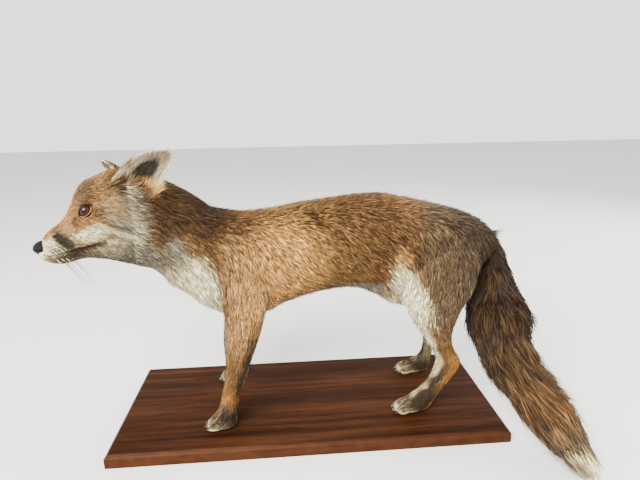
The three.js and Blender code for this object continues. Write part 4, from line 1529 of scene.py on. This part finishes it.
class Tufts:
    """The paths and sections of the tufts at some roots."""

    def __init__(self, own, kind, seed):
        draw = np.random.default_rng(seed)
        self.own = own
        self.kind = kind
        count = len(own)
        spacing, length, width = coat_plan_roots[:, own]
        self.root = roots.points[own]
        normal = roots.normals[own]
        self.locks = lock_numbers(
            self.root, np.interp(np.median(length) / MM, *np.array(LOCK_SIZES, float).T) * MM, seed
        )
        self.lock_count = int(self.locks.max()) + 1
        lock_tone = draw.normal(0, 1, self.lock_count)
        lock_turn = draw.normal(0, 0.13, self.lock_count)
        self.tone = 0.65 * lock_tone[self.locks] + 0.75 * draw.normal(0, 1, count)
        self.length = length * np.exp(draw.normal(0, 0.16, count) + 0.08 * lock_tone[self.locks])
        self.width = width * np.exp(draw.normal(0, 0.15, count))
        turn = lock_turn[self.locks] + draw.normal(0, 0.10, count)
        lie = root_lie[own]
        sideways = np.cross(normal, lie)
        self.lie = unit(lie + turn[:, None] * sideways)
        self.normal = normal
        self.bend = root_bend[own]
        self.rise = root_depth[own] * draw.uniform(0.45, 1.02, count)
        stray = draw.random(count) < STRAY_SHARE
        self.rise = np.where(stray, self.rise * 1.35, self.rise)
        self.twist = draw.normal(0, 0.5, count)
        self.draw = draw

    def path(self, u):
        """root + lie.s + bend.s^2/2 + normal.rise.(1-(1-u)^2), with s = u times the length."""
        s = (u * self.length)[:, None]
        climb = self.rise * (1 - (1 - u) ** 2)
        return self.root + self.lie * s + 0.5 * self.bend * s**2 + self.normal * climb[:, None]

    def rings(self):
        """All corners: three for each ring, and the tip; the tips of a lock lean together."""
        steps = np.array([*KINDS[self.kind], 1.0])
        middle = np.stack([self.path(u) for u in steps], 1)
        tips = lock_mean(middle[:, -1], self.locks, self.lock_count)[self.locks]
        pull = (tips - middle[:, -1]) * LOCK_PULL
        pull -= self.normal * dot(pull, self.normal)[:, None]
        middle += pull[:, None] * (steps**1.4)[None, :, None]
        along = unit(np.gradient(middle, axis=1))
        across = unit(np.cross(self.normal[:, None], along))
        out = np.cross(along, across)
        cosine, sine = np.cos(self.twist)[:, None, None], np.sin(self.twist)[:, None, None]
        across, out = across * cosine + out * sine, out * cosine - across * sine
        share = np.where(steps == 0, 0.8, 1 - steps**2.2)
        half = 0.5 * self.width[:, None, None] * share[None, :, None]
        corners = np.stack([middle - across * half, middle + across * half,
                            middle + out * half * 2 * RIDGE], 2)
        corners = np.concatenate([corners[:, :-1].reshape(len(middle), -1, 3), middle[:, -1:]], 1)
        return corners, steps

    def colours(self, steps):
        """Dark at the root, by grey underfur and painted shade between the tufts; the tip is paler, by its
        own pale band and a painted highlight, or dark where it is a guard hair; white hair stays plain.
        """
        own = self.own
        light = root_colours[own].mean(1)
        white = smooth_step(0.35, 0.65, light)
        tone = TONE_RANGE[self.kind] * self.tone * (1 + 1.2 * white) - WHITE_SHADE * white
        base = root_colours[own] * np.exp(tone)[:, None]
        guard = root_guard[own] * np.exp(-1.1 * self.tone) * smooth_step(0.62, 0.25, light)
        guard = self.draw.random(len(own)) < guard
        # the tip's lift: its own pale band plus a painted highlight, less on white hair
        lift = TIP_PALE_AND_HIGHLIGHT - WHITE_LIFT * white[:, None]
        tip = base * lift + base.mean(1, keepdims=True) * TIP_STRAW
        tip = np.where(guard[:, None], base * GUARD_DARK, tip)
        # the root's darkening: grey underfur plus painted shade deep between the tufts
        shade = np.interp(steps, [0, 0.35, 1], [ROOT_SHADE, 0.92, 1.0])
        way = np.interp(steps, [0, 0.4, 1], [0, 0.35, 1])
        mixed = base[:, None] + way[None, :, None] * (tip - base)[:, None]
        mixed = np.clip(mixed * shade[None, :, None], 0.002, 0.95)
        rings = np.repeat(mixed[:, :-1], 3, axis=1)
        return np.concatenate([rings, mixed[:, -1:]], 1)

    def unwrap(self, steps):
        """A small patch at the root's place on the charts: across the tuft and along it."""
        place = root_chart[self.own][:, None]
        half = 0.5 * PATCH
        ring = np.array([[-half, 0], [half, 0], [0, 0]])
        offset = np.concatenate([ring + [0, (u - 0.5) * PATCH] for u in steps[:-1]] + [[[0, half]]])
        return place + offset[None]


TONE_RANGE = {"spike": 0.46, "tuft": 0.40, "lock": 0.36}
WHITE_SHADE = 0.17
WHITE_LIFT = 0.30
# paler tips are a pale band plus a painted highlight; darker roots are grey underfur plus painted shade
TIP_PALE_AND_HIGHLIGHT = 1.40
TIP_STRAW = np.array([0.06, 0.06, -0.04])
ROOT_SHADE = 0.38
GUARD_DARK = 0.30
PATCH = 0.003
STRAY_SHARE = 0.05


def chart_place(spots):
    """Each part has a rectangle of the map: round it goes across, along it goes up."""
    place = np.zeros((len(spots.points), 2))
    angle = np.arctan2(spots.up, spots.across) % (2 * np.pi)
    for number, loft in enumerate(lofts):
        own = spots.part == number
        x, y, wide, tall = loft.chart
        place[own, 0] = x + wide * angle[own] / (2 * np.pi)
        place[own, 1] = y + tall * spots.t[own] / loft.last
    for number, ear in enumerate(ears):
        own = spots.part == EAR_FIRST + number
        x, y, wide, tall = ear.chart
        turn = 0.25 * (1 + np.clip(spots.across[own], -1, 1)) + 0.5 * spots.inside_ear[own]
        place[own, 0] = x + wide * turn
        place[own, 1] = y + tall * np.clip(spots.t[own], 0, 1)
    return place


def guard_share(spots):
    """How many tufts end in a dark hair: most along the back and the brush, few on the face and legs."""
    share = 0.16 + 0.20 * smooth_step(0.0, 0.8, spots.up)
    share = np.where(spots.part == BODY, share * smooth_step(-0.29, -0.23, spots.s) + 0.04, 0.08)
    return np.where(spots.part == TAIL, 0.30, share)


coat_plan_roots = coat_plan(roots)
root_lie = onto_skin(at_roots(skin_lie), roots.normals)
root_bend = at_roots(skin_bend)
root_depth = coat_depth(roots)
root_colours = markings(roots, ruffle=0.55)
root_chart = chart_place(roots)
root_guard = guard_share(roots)
print("mean tuft:", (coat_plan_roots[1].mean() / MM).round(1), "mm long")

# %% [markdown]
# The pieces of the coat follow the fox's regions, so that none grows too heavy. Short fur is made of
# straight spikes, body fur bends once and the brush bends twice. The colours go into an attribute,
# which the coat's material reads.

# %% Coat pieces
BOARD_GAP = 0.5 * MM
# name, kind of tuft, parts, and the stretch it covers: metres along the body, rows elsewhere
COAT_REGIONS = [
    ("coat_face", "spike", (BODY,), -9, -0.268),
    ("coat_head", "spike", (BODY,), -0.268, -0.236),
    ("coat_cheeks", "tuft", (BODY,), -0.236, -0.205),
    ("coat_neck", "tuft", (BODY,), -0.205, -0.10),
    ("coat_shoulders", "tuft", (BODY,), -0.10, 0.02),
    ("coat_flanks", "tuft", (BODY,), 0.02, 0.14),
    ("coat_rump", "tuft", (BODY,), 0.14, 9),
    ("coat_forelegs_upper", "tuft", (1, 2), -9, 4),
    ("coat_forelegs_lower", "spike", (1, 2), 4, 99),
    ("coat_hindlegs_upper", "tuft", (3, 4), -9, 5),
    ("coat_hindlegs_lower", "spike", (3, 4), 5, 99),
    ("coat_brush", "lock", (TAIL,), -9, 99),
    ("coat_ears", "spike", (EAR_FIRST, EAR_FIRST + 1), -9, 99),
]


def region_roots(parts, low, high):
    """Numbers of the growing roots on these parts, from low up to high."""
    place = np.where(roots.part == BODY, roots.s, roots.t)
    return np.flatnonzero(growing & np.isin(roots.part, parts) & (place >= low) & (place < high))


def store_colours(mesh, colours):
    layer = mesh.attributes.new("fur", "FLOAT_COLOR", "POINT")
    layer.data.foreach_set("color", np.column_stack([colours, np.ones(len(colours))]).astype("f").ravel())


def store_uv(mesh, name, places):
    mesh.uv_layers.new(name=name).data.foreach_set("uv", places.astype("f").ravel())


def coat_piece(name, kind, own, seed):
    tufts = Tufts(own, kind, seed)
    corners, steps = tufts.rings()
    floor = np.where(np.isin(roots.part[own], (BODY, TAIL)), BOARD_GAP, SOLE + BOARD_GAP)
    corners[..., 2] = np.maximum(corners[..., 2], floor[:, None])
    each = corners.shape[1]
    faces = section_faces(len(steps) - 1)
    every = (faces[None] + each * np.arange(len(own))[:, None, None]).reshape(-1, 3)
    piece = make_mesh(name, corners.reshape(-1, 3), [every])
    store_colours(piece.data, tufts.colours(steps).reshape(-1, 3))
    store_uv(piece.data, "OFBake", tufts.unwrap(steps).reshape(-1, 2)[every.ravel()])
    print(f"{name}: {len(own)} tufts, {len(every)} triangles")
    return piece


coat = [
    coat_piece(name, kind, region_roots(parts, low, high), COAT_SEED + number)
    for number, (name, kind, parts, low, high) in enumerate(COAT_REGIONS)
]
print("coat:", sum(len(piece.data.polygons) for piece in coat), "triangles")

# %% [markdown]
# Hair shines along its length and its edges glow a little against the light. The skin under it has
# the same markings, only darker, as the roots of a coat are; on the face and feet, where the hair is
# shortest, fine streaks along the lie stand in for it as bump.

# %% Coat and skin materials
SKIN_SHADE = 0.62
SKIN_SPREAD = 0.18
# streaks per metre across the lie and along it
STREAK_SCALE = (2600, 420, 1)
# metres round each part for each radian, and metres along the legs, brush and ears for each row
PART_GIRTH = [0.07, 0.02, 0.02, 0.03, 0.03, 0.03, 0.02, 0.02]
ROW_LENGTH = 0.02


def fur_times(tree, amount):
    """The piece's own colours, multiplied by an amount."""
    fur = add_node(tree, "Attribute", attribute_name="fur").outputs["Color"]
    return add_node(tree, "VectorMath", fur, operation="SCALE", Scale=amount).outputs["Vector"]


def hair_look():
    look, tree, shader = node_material("fox coat")
    fine = noise(tree, object_place(tree), noise_dimensions="3D", Scale=700, Detail=3)
    set_sockets(
        tree, shader, Base_Color=fur_times(tree, remap(tree, fine, 0.8, 1.2, 0.3, 0.7)),
        Roughness=remap(tree, fine, 0.48, 0.68), Specular_IOR_Level=0.10, Sheen_Weight=0.02,
        Sheen_Roughness=0.5, Sheen_Tint=(1.0, 0.9, 0.78, 1),
    )
    return look


def skin_look():
    look, tree, shader = node_material("fox skin")
    lie_map = add_node(tree, "UVMap", uv_map="lie").outputs["UV"]
    streaks = noise(tree, squeezed(tree, lie_map, STREAK_SCALE), noise_dimensions="2D", Scale=1, Detail=3)
    shade = remap(tree, streaks, SKIN_SHADE - SKIN_SPREAD, SKIN_SHADE + SKIN_SPREAD, 0.3, 0.7)
    set_sockets(
        tree, shader, Base_Color=fur_times(tree, shade), Normal=bump(tree, streaks, 0.8, 0.5 * MM),
        Roughness=0.7, Specular_IOR_Level=0.08,
    )
    return look


def dress(look, *pieces):
    for piece in pieces:
        piece.data.materials.append(look)


def lie_uv(mesh, spots):
    """Metres round and along each part, whole across every face, so the streaks keep their size."""
    angle = np.arctan2(spots.up, spots.across)
    loops = read_array(mesh.loops, "vertex_index", 1, np.int32)[:, 0]
    starts = read_array(mesh.polygons, "loop_start", 1, np.int32)[:, 0]
    counts = read_array(mesh.polygons, "loop_total", 1, np.int32)[:, 0]
    first = np.repeat(angle[loops[starts]], counts)
    turn = first + (angle[loops] - first + np.pi) % (2 * np.pi) - np.pi
    girth = np.array(PART_GIRTH)[spots.part]
    rowed = np.where(spots.part == BODY, spots.s, spots.t * ROW_LENGTH)
    store_uv(mesh, "lie", np.column_stack([turn * girth[loops], rowed[loops]]))


store_colours(skin.data, skin_colours)
lie_uv(skin.data, skin_spots)
skin.data.materials.clear()
skin.data.materials.append(skin_look())
hair = hair_look()
dress(hair, *coat)
print("materials on", len(coat) + 1, "pieces")

# %% [markdown]
# A glass eye is a ball with a slightly domed front. The iris is painted on the inside, so it looks
# deep; here the ball carries the colours of iris and pupil in an attribute, on a fine grid about the
# axis of sight, under a clear coat that gives the wet highlight.

# %% Glass eyes
CORNEA_RISE = 0.7 * MM
CORNEA_SPREAD = 0.62
PUPIL, IRIS_EDGE = 0.20, 0.80
# (ring from the middle of the pupil outwards, tone there)
EYE_TONES = [(0.0, (10, 7, 7)), (0.9, (14, 9, 8)), (1.05, (52, 20, 16)), (2.2, (76, 28, 21)),
             (3.2, (50, 20, 16)), (3.9, (28, 16, 14)), (5.0, (22, 14, 12)), (12.0, (22, 14, 12))]


def polar_grid(rings, sides):
    """Ring angle and turn of a ball; the first and last rings are small, for a middle point to close."""
    return ring_grid(np.linspace(0.02, np.pi - 0.02, rings), sides)


def eye_piece(name, side):
    """The radius grows at the front by a bell curve; a slit pupil squeezes the rings sideways."""
    centre, along, across, look = eye_frame(side)
    polar, turn = polar_grid(64, 72)
    radius = EYE_RADIUS + CORNEA_RISE * np.exp(-((polar / CORNEA_SPREAD) ** 2))
    level = unit(np.cross(look, [0, 0, 1.0]))
    upright = np.cross(level, look)
    wide, tall = np.sin(polar) * np.cos(turn), np.sin(polar) * np.sin(turn)
    points = centre + radius[..., None] * (
        wide[..., None] * level + tall[..., None] * upright + np.cos(polar)[..., None] * look
    )
    piece = make_mesh(name, *close_grid(points[:, ::-1]))
    slit = np.hypot(wide[:, ::-1] / PUPIL, tall[:, ::-1] / (2.4 * PUPIL))
    ring = polar[:, ::-1] / IRIS_EDGE * 3.6
    place = np.where(slit < 1.0, slit * 0.9, np.maximum(ring, 1.05))
    streak = 1 + 0.16 * np.sin(turn * 31 + 3 * np.sin(turn * 7)) * (place > 1) * (place < 3.6)
    colours = station_colours(EYE_TONES, place) * streak[..., None]
    store_colours(piece.data, np.vstack([colours.reshape(-1, 3), colours[0, 0], colours[-1, 0]]))
    return piece


def eye_look():
    look, tree, shader = node_material("glass eye")
    flecks = noise(tree, object_place(tree), Scale=900)
    set_sockets(
        tree, shader, Base_Color=fur_times(tree, remap(tree, flecks, 0.7, 1.3)), Roughness=0.3,
        Specular_IOR_Level=0.02, Coat_Weight=0.28, Coat_Roughness=0.03, Coat_IOR=1.45,
    )
    return look


eyes = [eye_piece("glass_eye_left", 1), eye_piece("glass_eye_right", -1)]
dress(eye_look(), *eyes)
print("eyes:", len(eyes[0].data.polygons), "faces each")

# %% [markdown]
# The lids are a ring of bare skin round each eye, dark above and paler along the lower rim. Its inner
# edge lies on the glass along an almond, and it rolls outwards over a soft rim and down under the
# fur. The height of the fur's skin under any place is a weighted mean of the skin's points near it.

# %% Lids
LID_ROLL = 0.9 * MM
LID_REACH = 0.55
LID_TONES = [(0, (24, 17, 15)), (0.35, (36, 26, 22)), (0.7, (84, 58, 40)), (1, (130, 100, 70))]
LID_PALE = (214, 186, 146)


def bell_mean(places, points, values, spread):
    """The mean of the points' values at each place, weighted by a bell of the distance between them."""
    gap2 = ((places[..., None, :] - points) ** 2).sum(-1)
    weight = np.exp(-0.5 * gap2 / spread**2) + 1e-12
    return (weight * values).sum(-1) / weight.sum(-1)


def skin_height(eye, a, b, spread):
    """How far the skin near an eye stands along the way it looks, at places a, b on the lids' axes."""
    centre, along, across, look = eye
    away = skin_spots.points - centre
    close = (np.linalg.norm(away, axis=1) < 0.035) & (away @ look > -0.002)
    flat = np.stack([away[close] @ along, away[close] @ across], -1)
    return bell_mean(np.stack([a, b], -1), flat, away[close] @ look, spread)


def lid_ring(side):
    """Almond: half length times cosine, half height times sine bent to a point at the corners."""
    eye = centre, along, across, look = eye_frame(side)
    v, turn = ring_grid(np.linspace(0, 1, 15), 96)
    a = EYE_HALF_LENGTH * np.cos(turn)
    b = EYE_HALF_HEIGHT * np.sign(np.sin(turn)) * np.abs(np.sin(turn)) ** 1.15
    reach = 1 + LID_REACH * v
    ball = np.sqrt(np.maximum((EYE_RADIUS + 0.3 * MM) ** 2 - a**2 - b**2, (2 * MM) ** 2))
    outer = skin_height(eye, a * reach, b * reach, 1.3 * MM) - 0.5 * MM
    roll = LID_ROLL * np.sin(np.pi * np.minimum(v * 1.9, 1)) * (v < 0.53)
    blend = smooth_step(0.12, 0.95, v)
    height = ball * (1 - blend) + outer * blend + roll
    points = centre + (a * reach)[..., None] * along + (b * reach)[..., None] * across
    return points + height[..., None] * look, v


def lid_piece(name, side):
    points, v = lid_ring(side)
    inner = points - eye_frame(side)[3] * (1.2 * MM)
    shell = np.concatenate([points, inner[::-1]])
    shell = shell if side > 0 else shell[:, ::-1]
    number = np.arange(shell[..., 0].size).reshape(shell.shape[:2])
    piece = make_mesh(name, shell.reshape(-1, 3), [ring_quads(np.vstack([number, number[:1]]))])
    values = np.concatenate([v, v[::-1]])
    values = (values if side > 0 else values[:, ::-1]).ravel()
    colours = station_colours(LID_TONES, values)
    centre, _, across, _ = eye_frame(side)
    below = smooth_step(0.2, -0.8, ((read_points(piece.data) - centre) @ across) / EYE_HALF_HEIGHT)
    rim = smooth_step(0.10, 0.24, values) * smooth_step(0.9, 0.65, values)
    store_colours(piece.data, lay(colours, (LID_PALE, 0.85 * below * rim)))
    return piece


def leather_look(name, scale, depth):
    """Damp dark leather: pebbles from Voronoi cells, raised and paler in their middles; the paler middles
    are painted light and the darker cracks painted shade.
    """
    look, tree, shader = node_material(name)
    cells = add_node(tree, "TexVoronoi", feature="DISTANCE_TO_EDGE", Scale=scale, Vector=object_place(tree))
    pebbles = remap(tree, cells.outputs["Distance"], 0.0, 1.0, 0.0, 0.35)
    # the pebbles' height also sets the colour: painted shade in the cracks, painted light on the tops
    set_sockets(
        tree, shader, Base_Color=fur_times(tree, remap(tree, pebbles, 0.6, 1.15)),
        Normal=bump(tree, pebbles, 0.7, depth), Roughness=0.42, Specular_IOR_Level=0.05,
    )
    return look


lids = [lid_piece("lids_left", 1), lid_piece("lids_right", -1)]
lid_leather = leather_look("lid leather", 1400, 0.15 * MM)
dress(lid_leather, *lids)
print("lids:", len(lids[0].data.polygons), "faces each")

# %% [markdown]
# The nose pad is a blunt ball of pebbled black leather. Its front is a little flat, with a groove down
# the middle; each nostril is a round pit that runs out sideways into a slit. All of it is one radius
# for each direction, on a grid about the way the nose points.

# %% Nose pad
NOSE_PLACE = beside_plan(-0.3308, 0.0, 0.2888)
NOSE_RADII = np.array([12.9, 11.4, 10.2]) * MM
NOSE_PITCH = np.radians(12)
# (radius of the pad, tone there): darkest where the pad dips into the nostrils and groove, which is painted
# shade in the hollows
NOSE_TONES = [(0.5, (6, 5, 5)), (0.8, (16, 14, 14)), (1.05, (27, 24, 24))]


def bell(x, y, middle_x, middle_y, spread_x, spread_y):
    return np.exp(-(((x - middle_x) / spread_x) ** 2) - ((y - middle_y) / spread_y) ** 2)


def nose_pad():
    """Ball scaled by its radii, minus pits, slits and groove, narrower towards the lip."""
    polar, turn = polar_grid(90, 120)
    ahead, wide, tall = np.cos(polar), np.sin(polar) * np.cos(turn), np.sin(polar) * np.sin(turn)
    front = smooth_step(-0.1, 0.45, ahead)
    radius = 1.0 - 0.06 * bell(wide, tall, 0, 0.1, 0.5, 0.5) * front
    for side in (1, -1):
        radius -= 0.34 * bell(wide, tall, side * 0.47, -0.08, 0.19, 0.22) * front
        radius -= 0.24 * bell(wide, tall, side * 0.78, -0.30, 0.24, 0.10) * front
        radius += 0.07 * bell(wide, tall, side * 0.62, 0.26, 0.26, 0.20) * front
    radius -= 0.10 * np.exp(-((wide / 0.07) ** 2)) * smooth_step(0.45, 0.1, tall) * front
    side_axis = plan_side(np.array([-0.336]))[0]
    forward = unit(np.array([side_axis[1], -side_axis[0], 0.0]))
    ahead_axis = forward * np.cos(NOSE_PITCH) - np.array([0, 0, np.sin(NOSE_PITCH)])
    up_axis = forward * np.sin(NOSE_PITCH) + np.array([0, 0, np.cos(NOSE_PITCH)])
    narrow = 1 - 0.28 * smooth_step(0.0, -1.0, tall)
    ahead = ahead * (1 - 0.34 * smooth_step(0.25, -0.85, tall))
    points = NOSE_PLACE + radius[..., None] * (
        (ahead * NOSE_RADII[0])[..., None] * ahead_axis
        + (wide * narrow * NOSE_RADII[1])[..., None] * side_axis
        + (tall * NOSE_RADII[2])[..., None] * up_axis
    )
    piece = make_mesh("nose_pad", *close_grid(points))
    # painted shade: the tone falls with the radius, into the pits, slits and groove
    dark = station_colours(NOSE_TONES, radius.ravel())
    store_colours(piece.data, np.vstack([dark, dark[0], dark[-1]]))
    return piece


nose = nose_pad()
dress(leather_look("nose leather", 1100, 0.25 * MM), nose)
print("nose pad:", len(nose.data.polygons), "faces")

# %% [markdown]
# The closed mouth shows as a thin dark lip from one corner round the front to the other. It is a tube
# laid on the skin in the lip's groove: each point of its path takes its distance from the backbone
# from the skin's own points near it.

# %% Lips
LIP_RADIUS = 1.4 * MM
LIP_POINTS = 90
LIP_TONE = (30, 22, 20)


def skin_out(side, s, z, spread=1.6 * MM):
    """How far out the skin stands at places in side view, by the same weighted mean as the lids."""
    near = (skin_spots.part == BODY) & (skin_spots.out * side > 0) & (skin_spots.s < MOUTH_REAR)
    flat = np.stack([skin_spots.s[near], skin_spots.z[near]], -1)
    return bell_mean(np.stack([s, z], -1), flat, np.abs(skin_spots.out[near]), spread)


def tube(path, radius, sides=10, flat=1.0):
    """A closed tube: rings square to the path, its radius changing along it, and ends drawn to points."""
    along = unit(np.gradient(path, axis=0))
    level = unit(np.cross(along, [0.0, 0.0, 1.0]) + 1e-9)
    upright = np.cross(level, along)
    turn = 2 * np.pi * np.arange(sides) / sides
    cosine, sine = np.cos(turn)[None, :, None], flat * np.sin(turn)[None, :, None]
    ring = cosine * level[:, None] + sine * upright[:, None]
    return close_grid(path[:, None] + np.asarray(radius)[:, None, None] * ring)


def lip_path():
    share = np.linspace(0, 1, LIP_POINTS // 2)
    knots = MOUTH_LINE[::-1]
    steps = np.linspace(0, 1, len(knots))
    s, z = np.interp(share, steps, knots[:, 0]), np.interp(share, steps, knots[:, 1])
    halves = []
    for side in (1, -1):
        out = skin_out(side, s, z) * smooth_step(1.02, 0.93, share) - 0.1 * MM
        foot = np.stack([s, plan_y(s), z], -1)
        halves.append(foot + side * np.maximum(out, 0)[:, None] * plan_side(s))
    return np.vstack([halves[0], halves[1][::-1]])


path = lip_path()
for _ in range(3):
    path[1:-1] = 0.25 * path[:-2] + 0.5 * path[1:-1] + 0.25 * path[2:]
behind = np.abs(np.linspace(-1, 1, len(path)))
taper = (0.35 + 0.65 * smooth_step(0.15, 0.5, behind)) * smooth_step(1.03, 0.8, behind)
lips = make_mesh("lips", *tube(path, LIP_RADIUS * taper, flat=0.8))
store_colours(lips.data, np.tile(paint(LIP_TONE), (len(lips.data.vertices), 1)))
dress(lid_leather, lips)
print("lips:", len(lips.data.polygons), "faces")

# %% [markdown]
# Claws are curved horn, round above and narrow below, streaked dark and pale along the grain. Each
# foot's four are one piece; every claw is a tube of shrinking rings along a parabola.

# %% Claws
CLAW_LENGTH = 7.6 * MM
CLAW_SETBACK = 1.6 * MM
CLAW_RADIUS = 1.75 * MM
CLAW_DROP = 3.8 * MM
HORN_GRAIN = (160, 1500, 1500)
HORN_DARK, HORN_PALE = (46, 37, 31), (122, 104, 86)


def claw_shape(leg, digit):
    """Forward by its length, down by the square of the share, radius by a root of what is left."""
    front, y = paw_front(leg)
    v = np.linspace(0, 1, 15)
    root = np.array([front - TOE_LENGTHS[digit] + CLAW_SETBACK, y + TOE_SPREAD[digit], SOLE + 5.2 * MM])
    path = root + np.stack([-CLAW_LENGTH * v, 0 * v, -CLAW_DROP * v**2], -1)
    return tube(path, CLAW_RADIUS * (1 - 0.97 * v) ** 0.7, sides=12, flat=1.15)


def horn_look():
    look, tree, shader = node_material("claw horn")
    grain = noise(tree, squeezed(tree, object_place(tree), HORN_GRAIN), Scale=1, Detail=3)
    colour = colour_ramp(tree, grain, (0.35, paint(HORN_DARK)), (0.72, paint(HORN_PALE)))
    set_sockets(tree, shader, Base_Color=colour, Roughness=0.35)
    return look


claws = [
    make_mesh("claws_" + leg.name, *join_shapes([claw_shape(leg, digit) for digit in range(4)]))
    for leg in legs
]
dress(horn_look(), *claws)
print("claws:", len(claws), "feet")

# %% [markdown]
# Whiskers grow in rows from the white pads of the lip, with a few on the chin and brow. Each is a
# thin stiff tube that sweeps back, out and down on a parabola and thins to a point. Most are dark;
# the ones of the chin are pale.

# %% Whiskers
WHISKER_SEED = 7
WHISKER_RADIUS = 0.4 * MM
# s, z of the first root, steps along the row, step in s and z, length, drop, tone
WHISKER_ROWS = [
    (-326, 294, 4, 4.2, 0.8, 44, 10, (52, 36, 26)),
    (-324, 290, 5, 4.0, 0.8, 56, 22, (46, 32, 24)),
    (-322, 286.5, 4, 4.0, 0.9, 52, 34, (60, 43, 30)),
    (-318, 276, 3, 5.0, 0.6, 26, 22, (214, 204, 188)),
    (-289, 354, 2, 3.5, 2.0, 26, -6, (58, 45, 38)),
]


def whisker(side, s, z, length, drop, draw):
    """Root on the skin; back and out by the share of its length, down by the share's square."""
    out = skin_out(side, np.array([s]), np.array([z]))
    root = beside_plan(s, side * (out[0] - 0.6 * MM), z)
    outward = side * plan_side(np.array([s]))[0]
    rear = np.array([outward[1] * -side, outward[0] * side, 0.0])
    rear = rear if rear[0] > 0 else -rear
    start = unit(0.95 * outward + (0.45 + draw.normal(0, 0.10)) * rear + [0, 0, draw.normal(-0.1, 0.08)])
    v = np.linspace(0, 1, 16)[:, None]
    path = root + length * v * start + v**2 * (0.32 * length * rear - [0, 0, drop])
    return tube(path, WHISKER_RADIUS * (1 - 0.8 * v[:, 0]), sides=5)


def whisker_set():
    draw = np.random.default_rng(WHISKER_SEED)
    shapes, tones = [], []
    for side in (1, -1):
        for s, z, count, step_s, step_z, length, drop, tone in WHISKER_ROWS:
            for k in range(count):
                size = length * draw.uniform(0.75, 1.15) * MM
                shape = whisker(side, (s + k * step_s) * MM, (z + k * step_z) * MM, size, drop * MM, draw)
                shapes.append(shape)
                tones.append(np.tile(paint(tone), (len(shape[0]), 1)))
    return shapes, np.vstack(tones)


whisker_shapes, whisker_tones = whisker_set()
whiskers = make_mesh("whiskers", *join_shapes(whisker_shapes))
store_colours(whiskers.data, whisker_tones)
dress(hair, whiskers)
print("whiskers:", len(whisker_shapes))

# %% [markdown]
# ## The pieces on the stand
# The stand carries everything, so every piece rides on the root: this animal has no moving part.
# The table below groups the pieces by finish, but only their place on the root is set from it. The plain
# solids that they stand for are hidden: the skin for all the flesh at once, and the eyes, the nose and
# the claws each for their own solid.
# The board is the one solid that stays, with its wood.

# %% Pieces on the root, and the solids hidden
SLOTS = [
    ("fox_coat", [skin, *coat, whiskers]), ("nose_leather", [*lids, lips, nose]),
    ("eye_glass", eyes), ("claw_horn", claws),
]
for finish, pieces in SLOTS:
    for piece in pieces:
        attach(piece, "root")

hard_parts = ("board", "nose", "eye_left", "eye_right")
flesh = [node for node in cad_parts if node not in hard_parts and "claw" not in node]
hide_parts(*flesh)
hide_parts("nose")
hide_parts("eye_left")
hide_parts("eye_right")
for leg, piece in zip(legs, claws):
    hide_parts(*[f"{leg.name}_claw_{number}" for number in range(1, 5)])
print(f"one skin stands for {len(flesh)} solids of flesh")
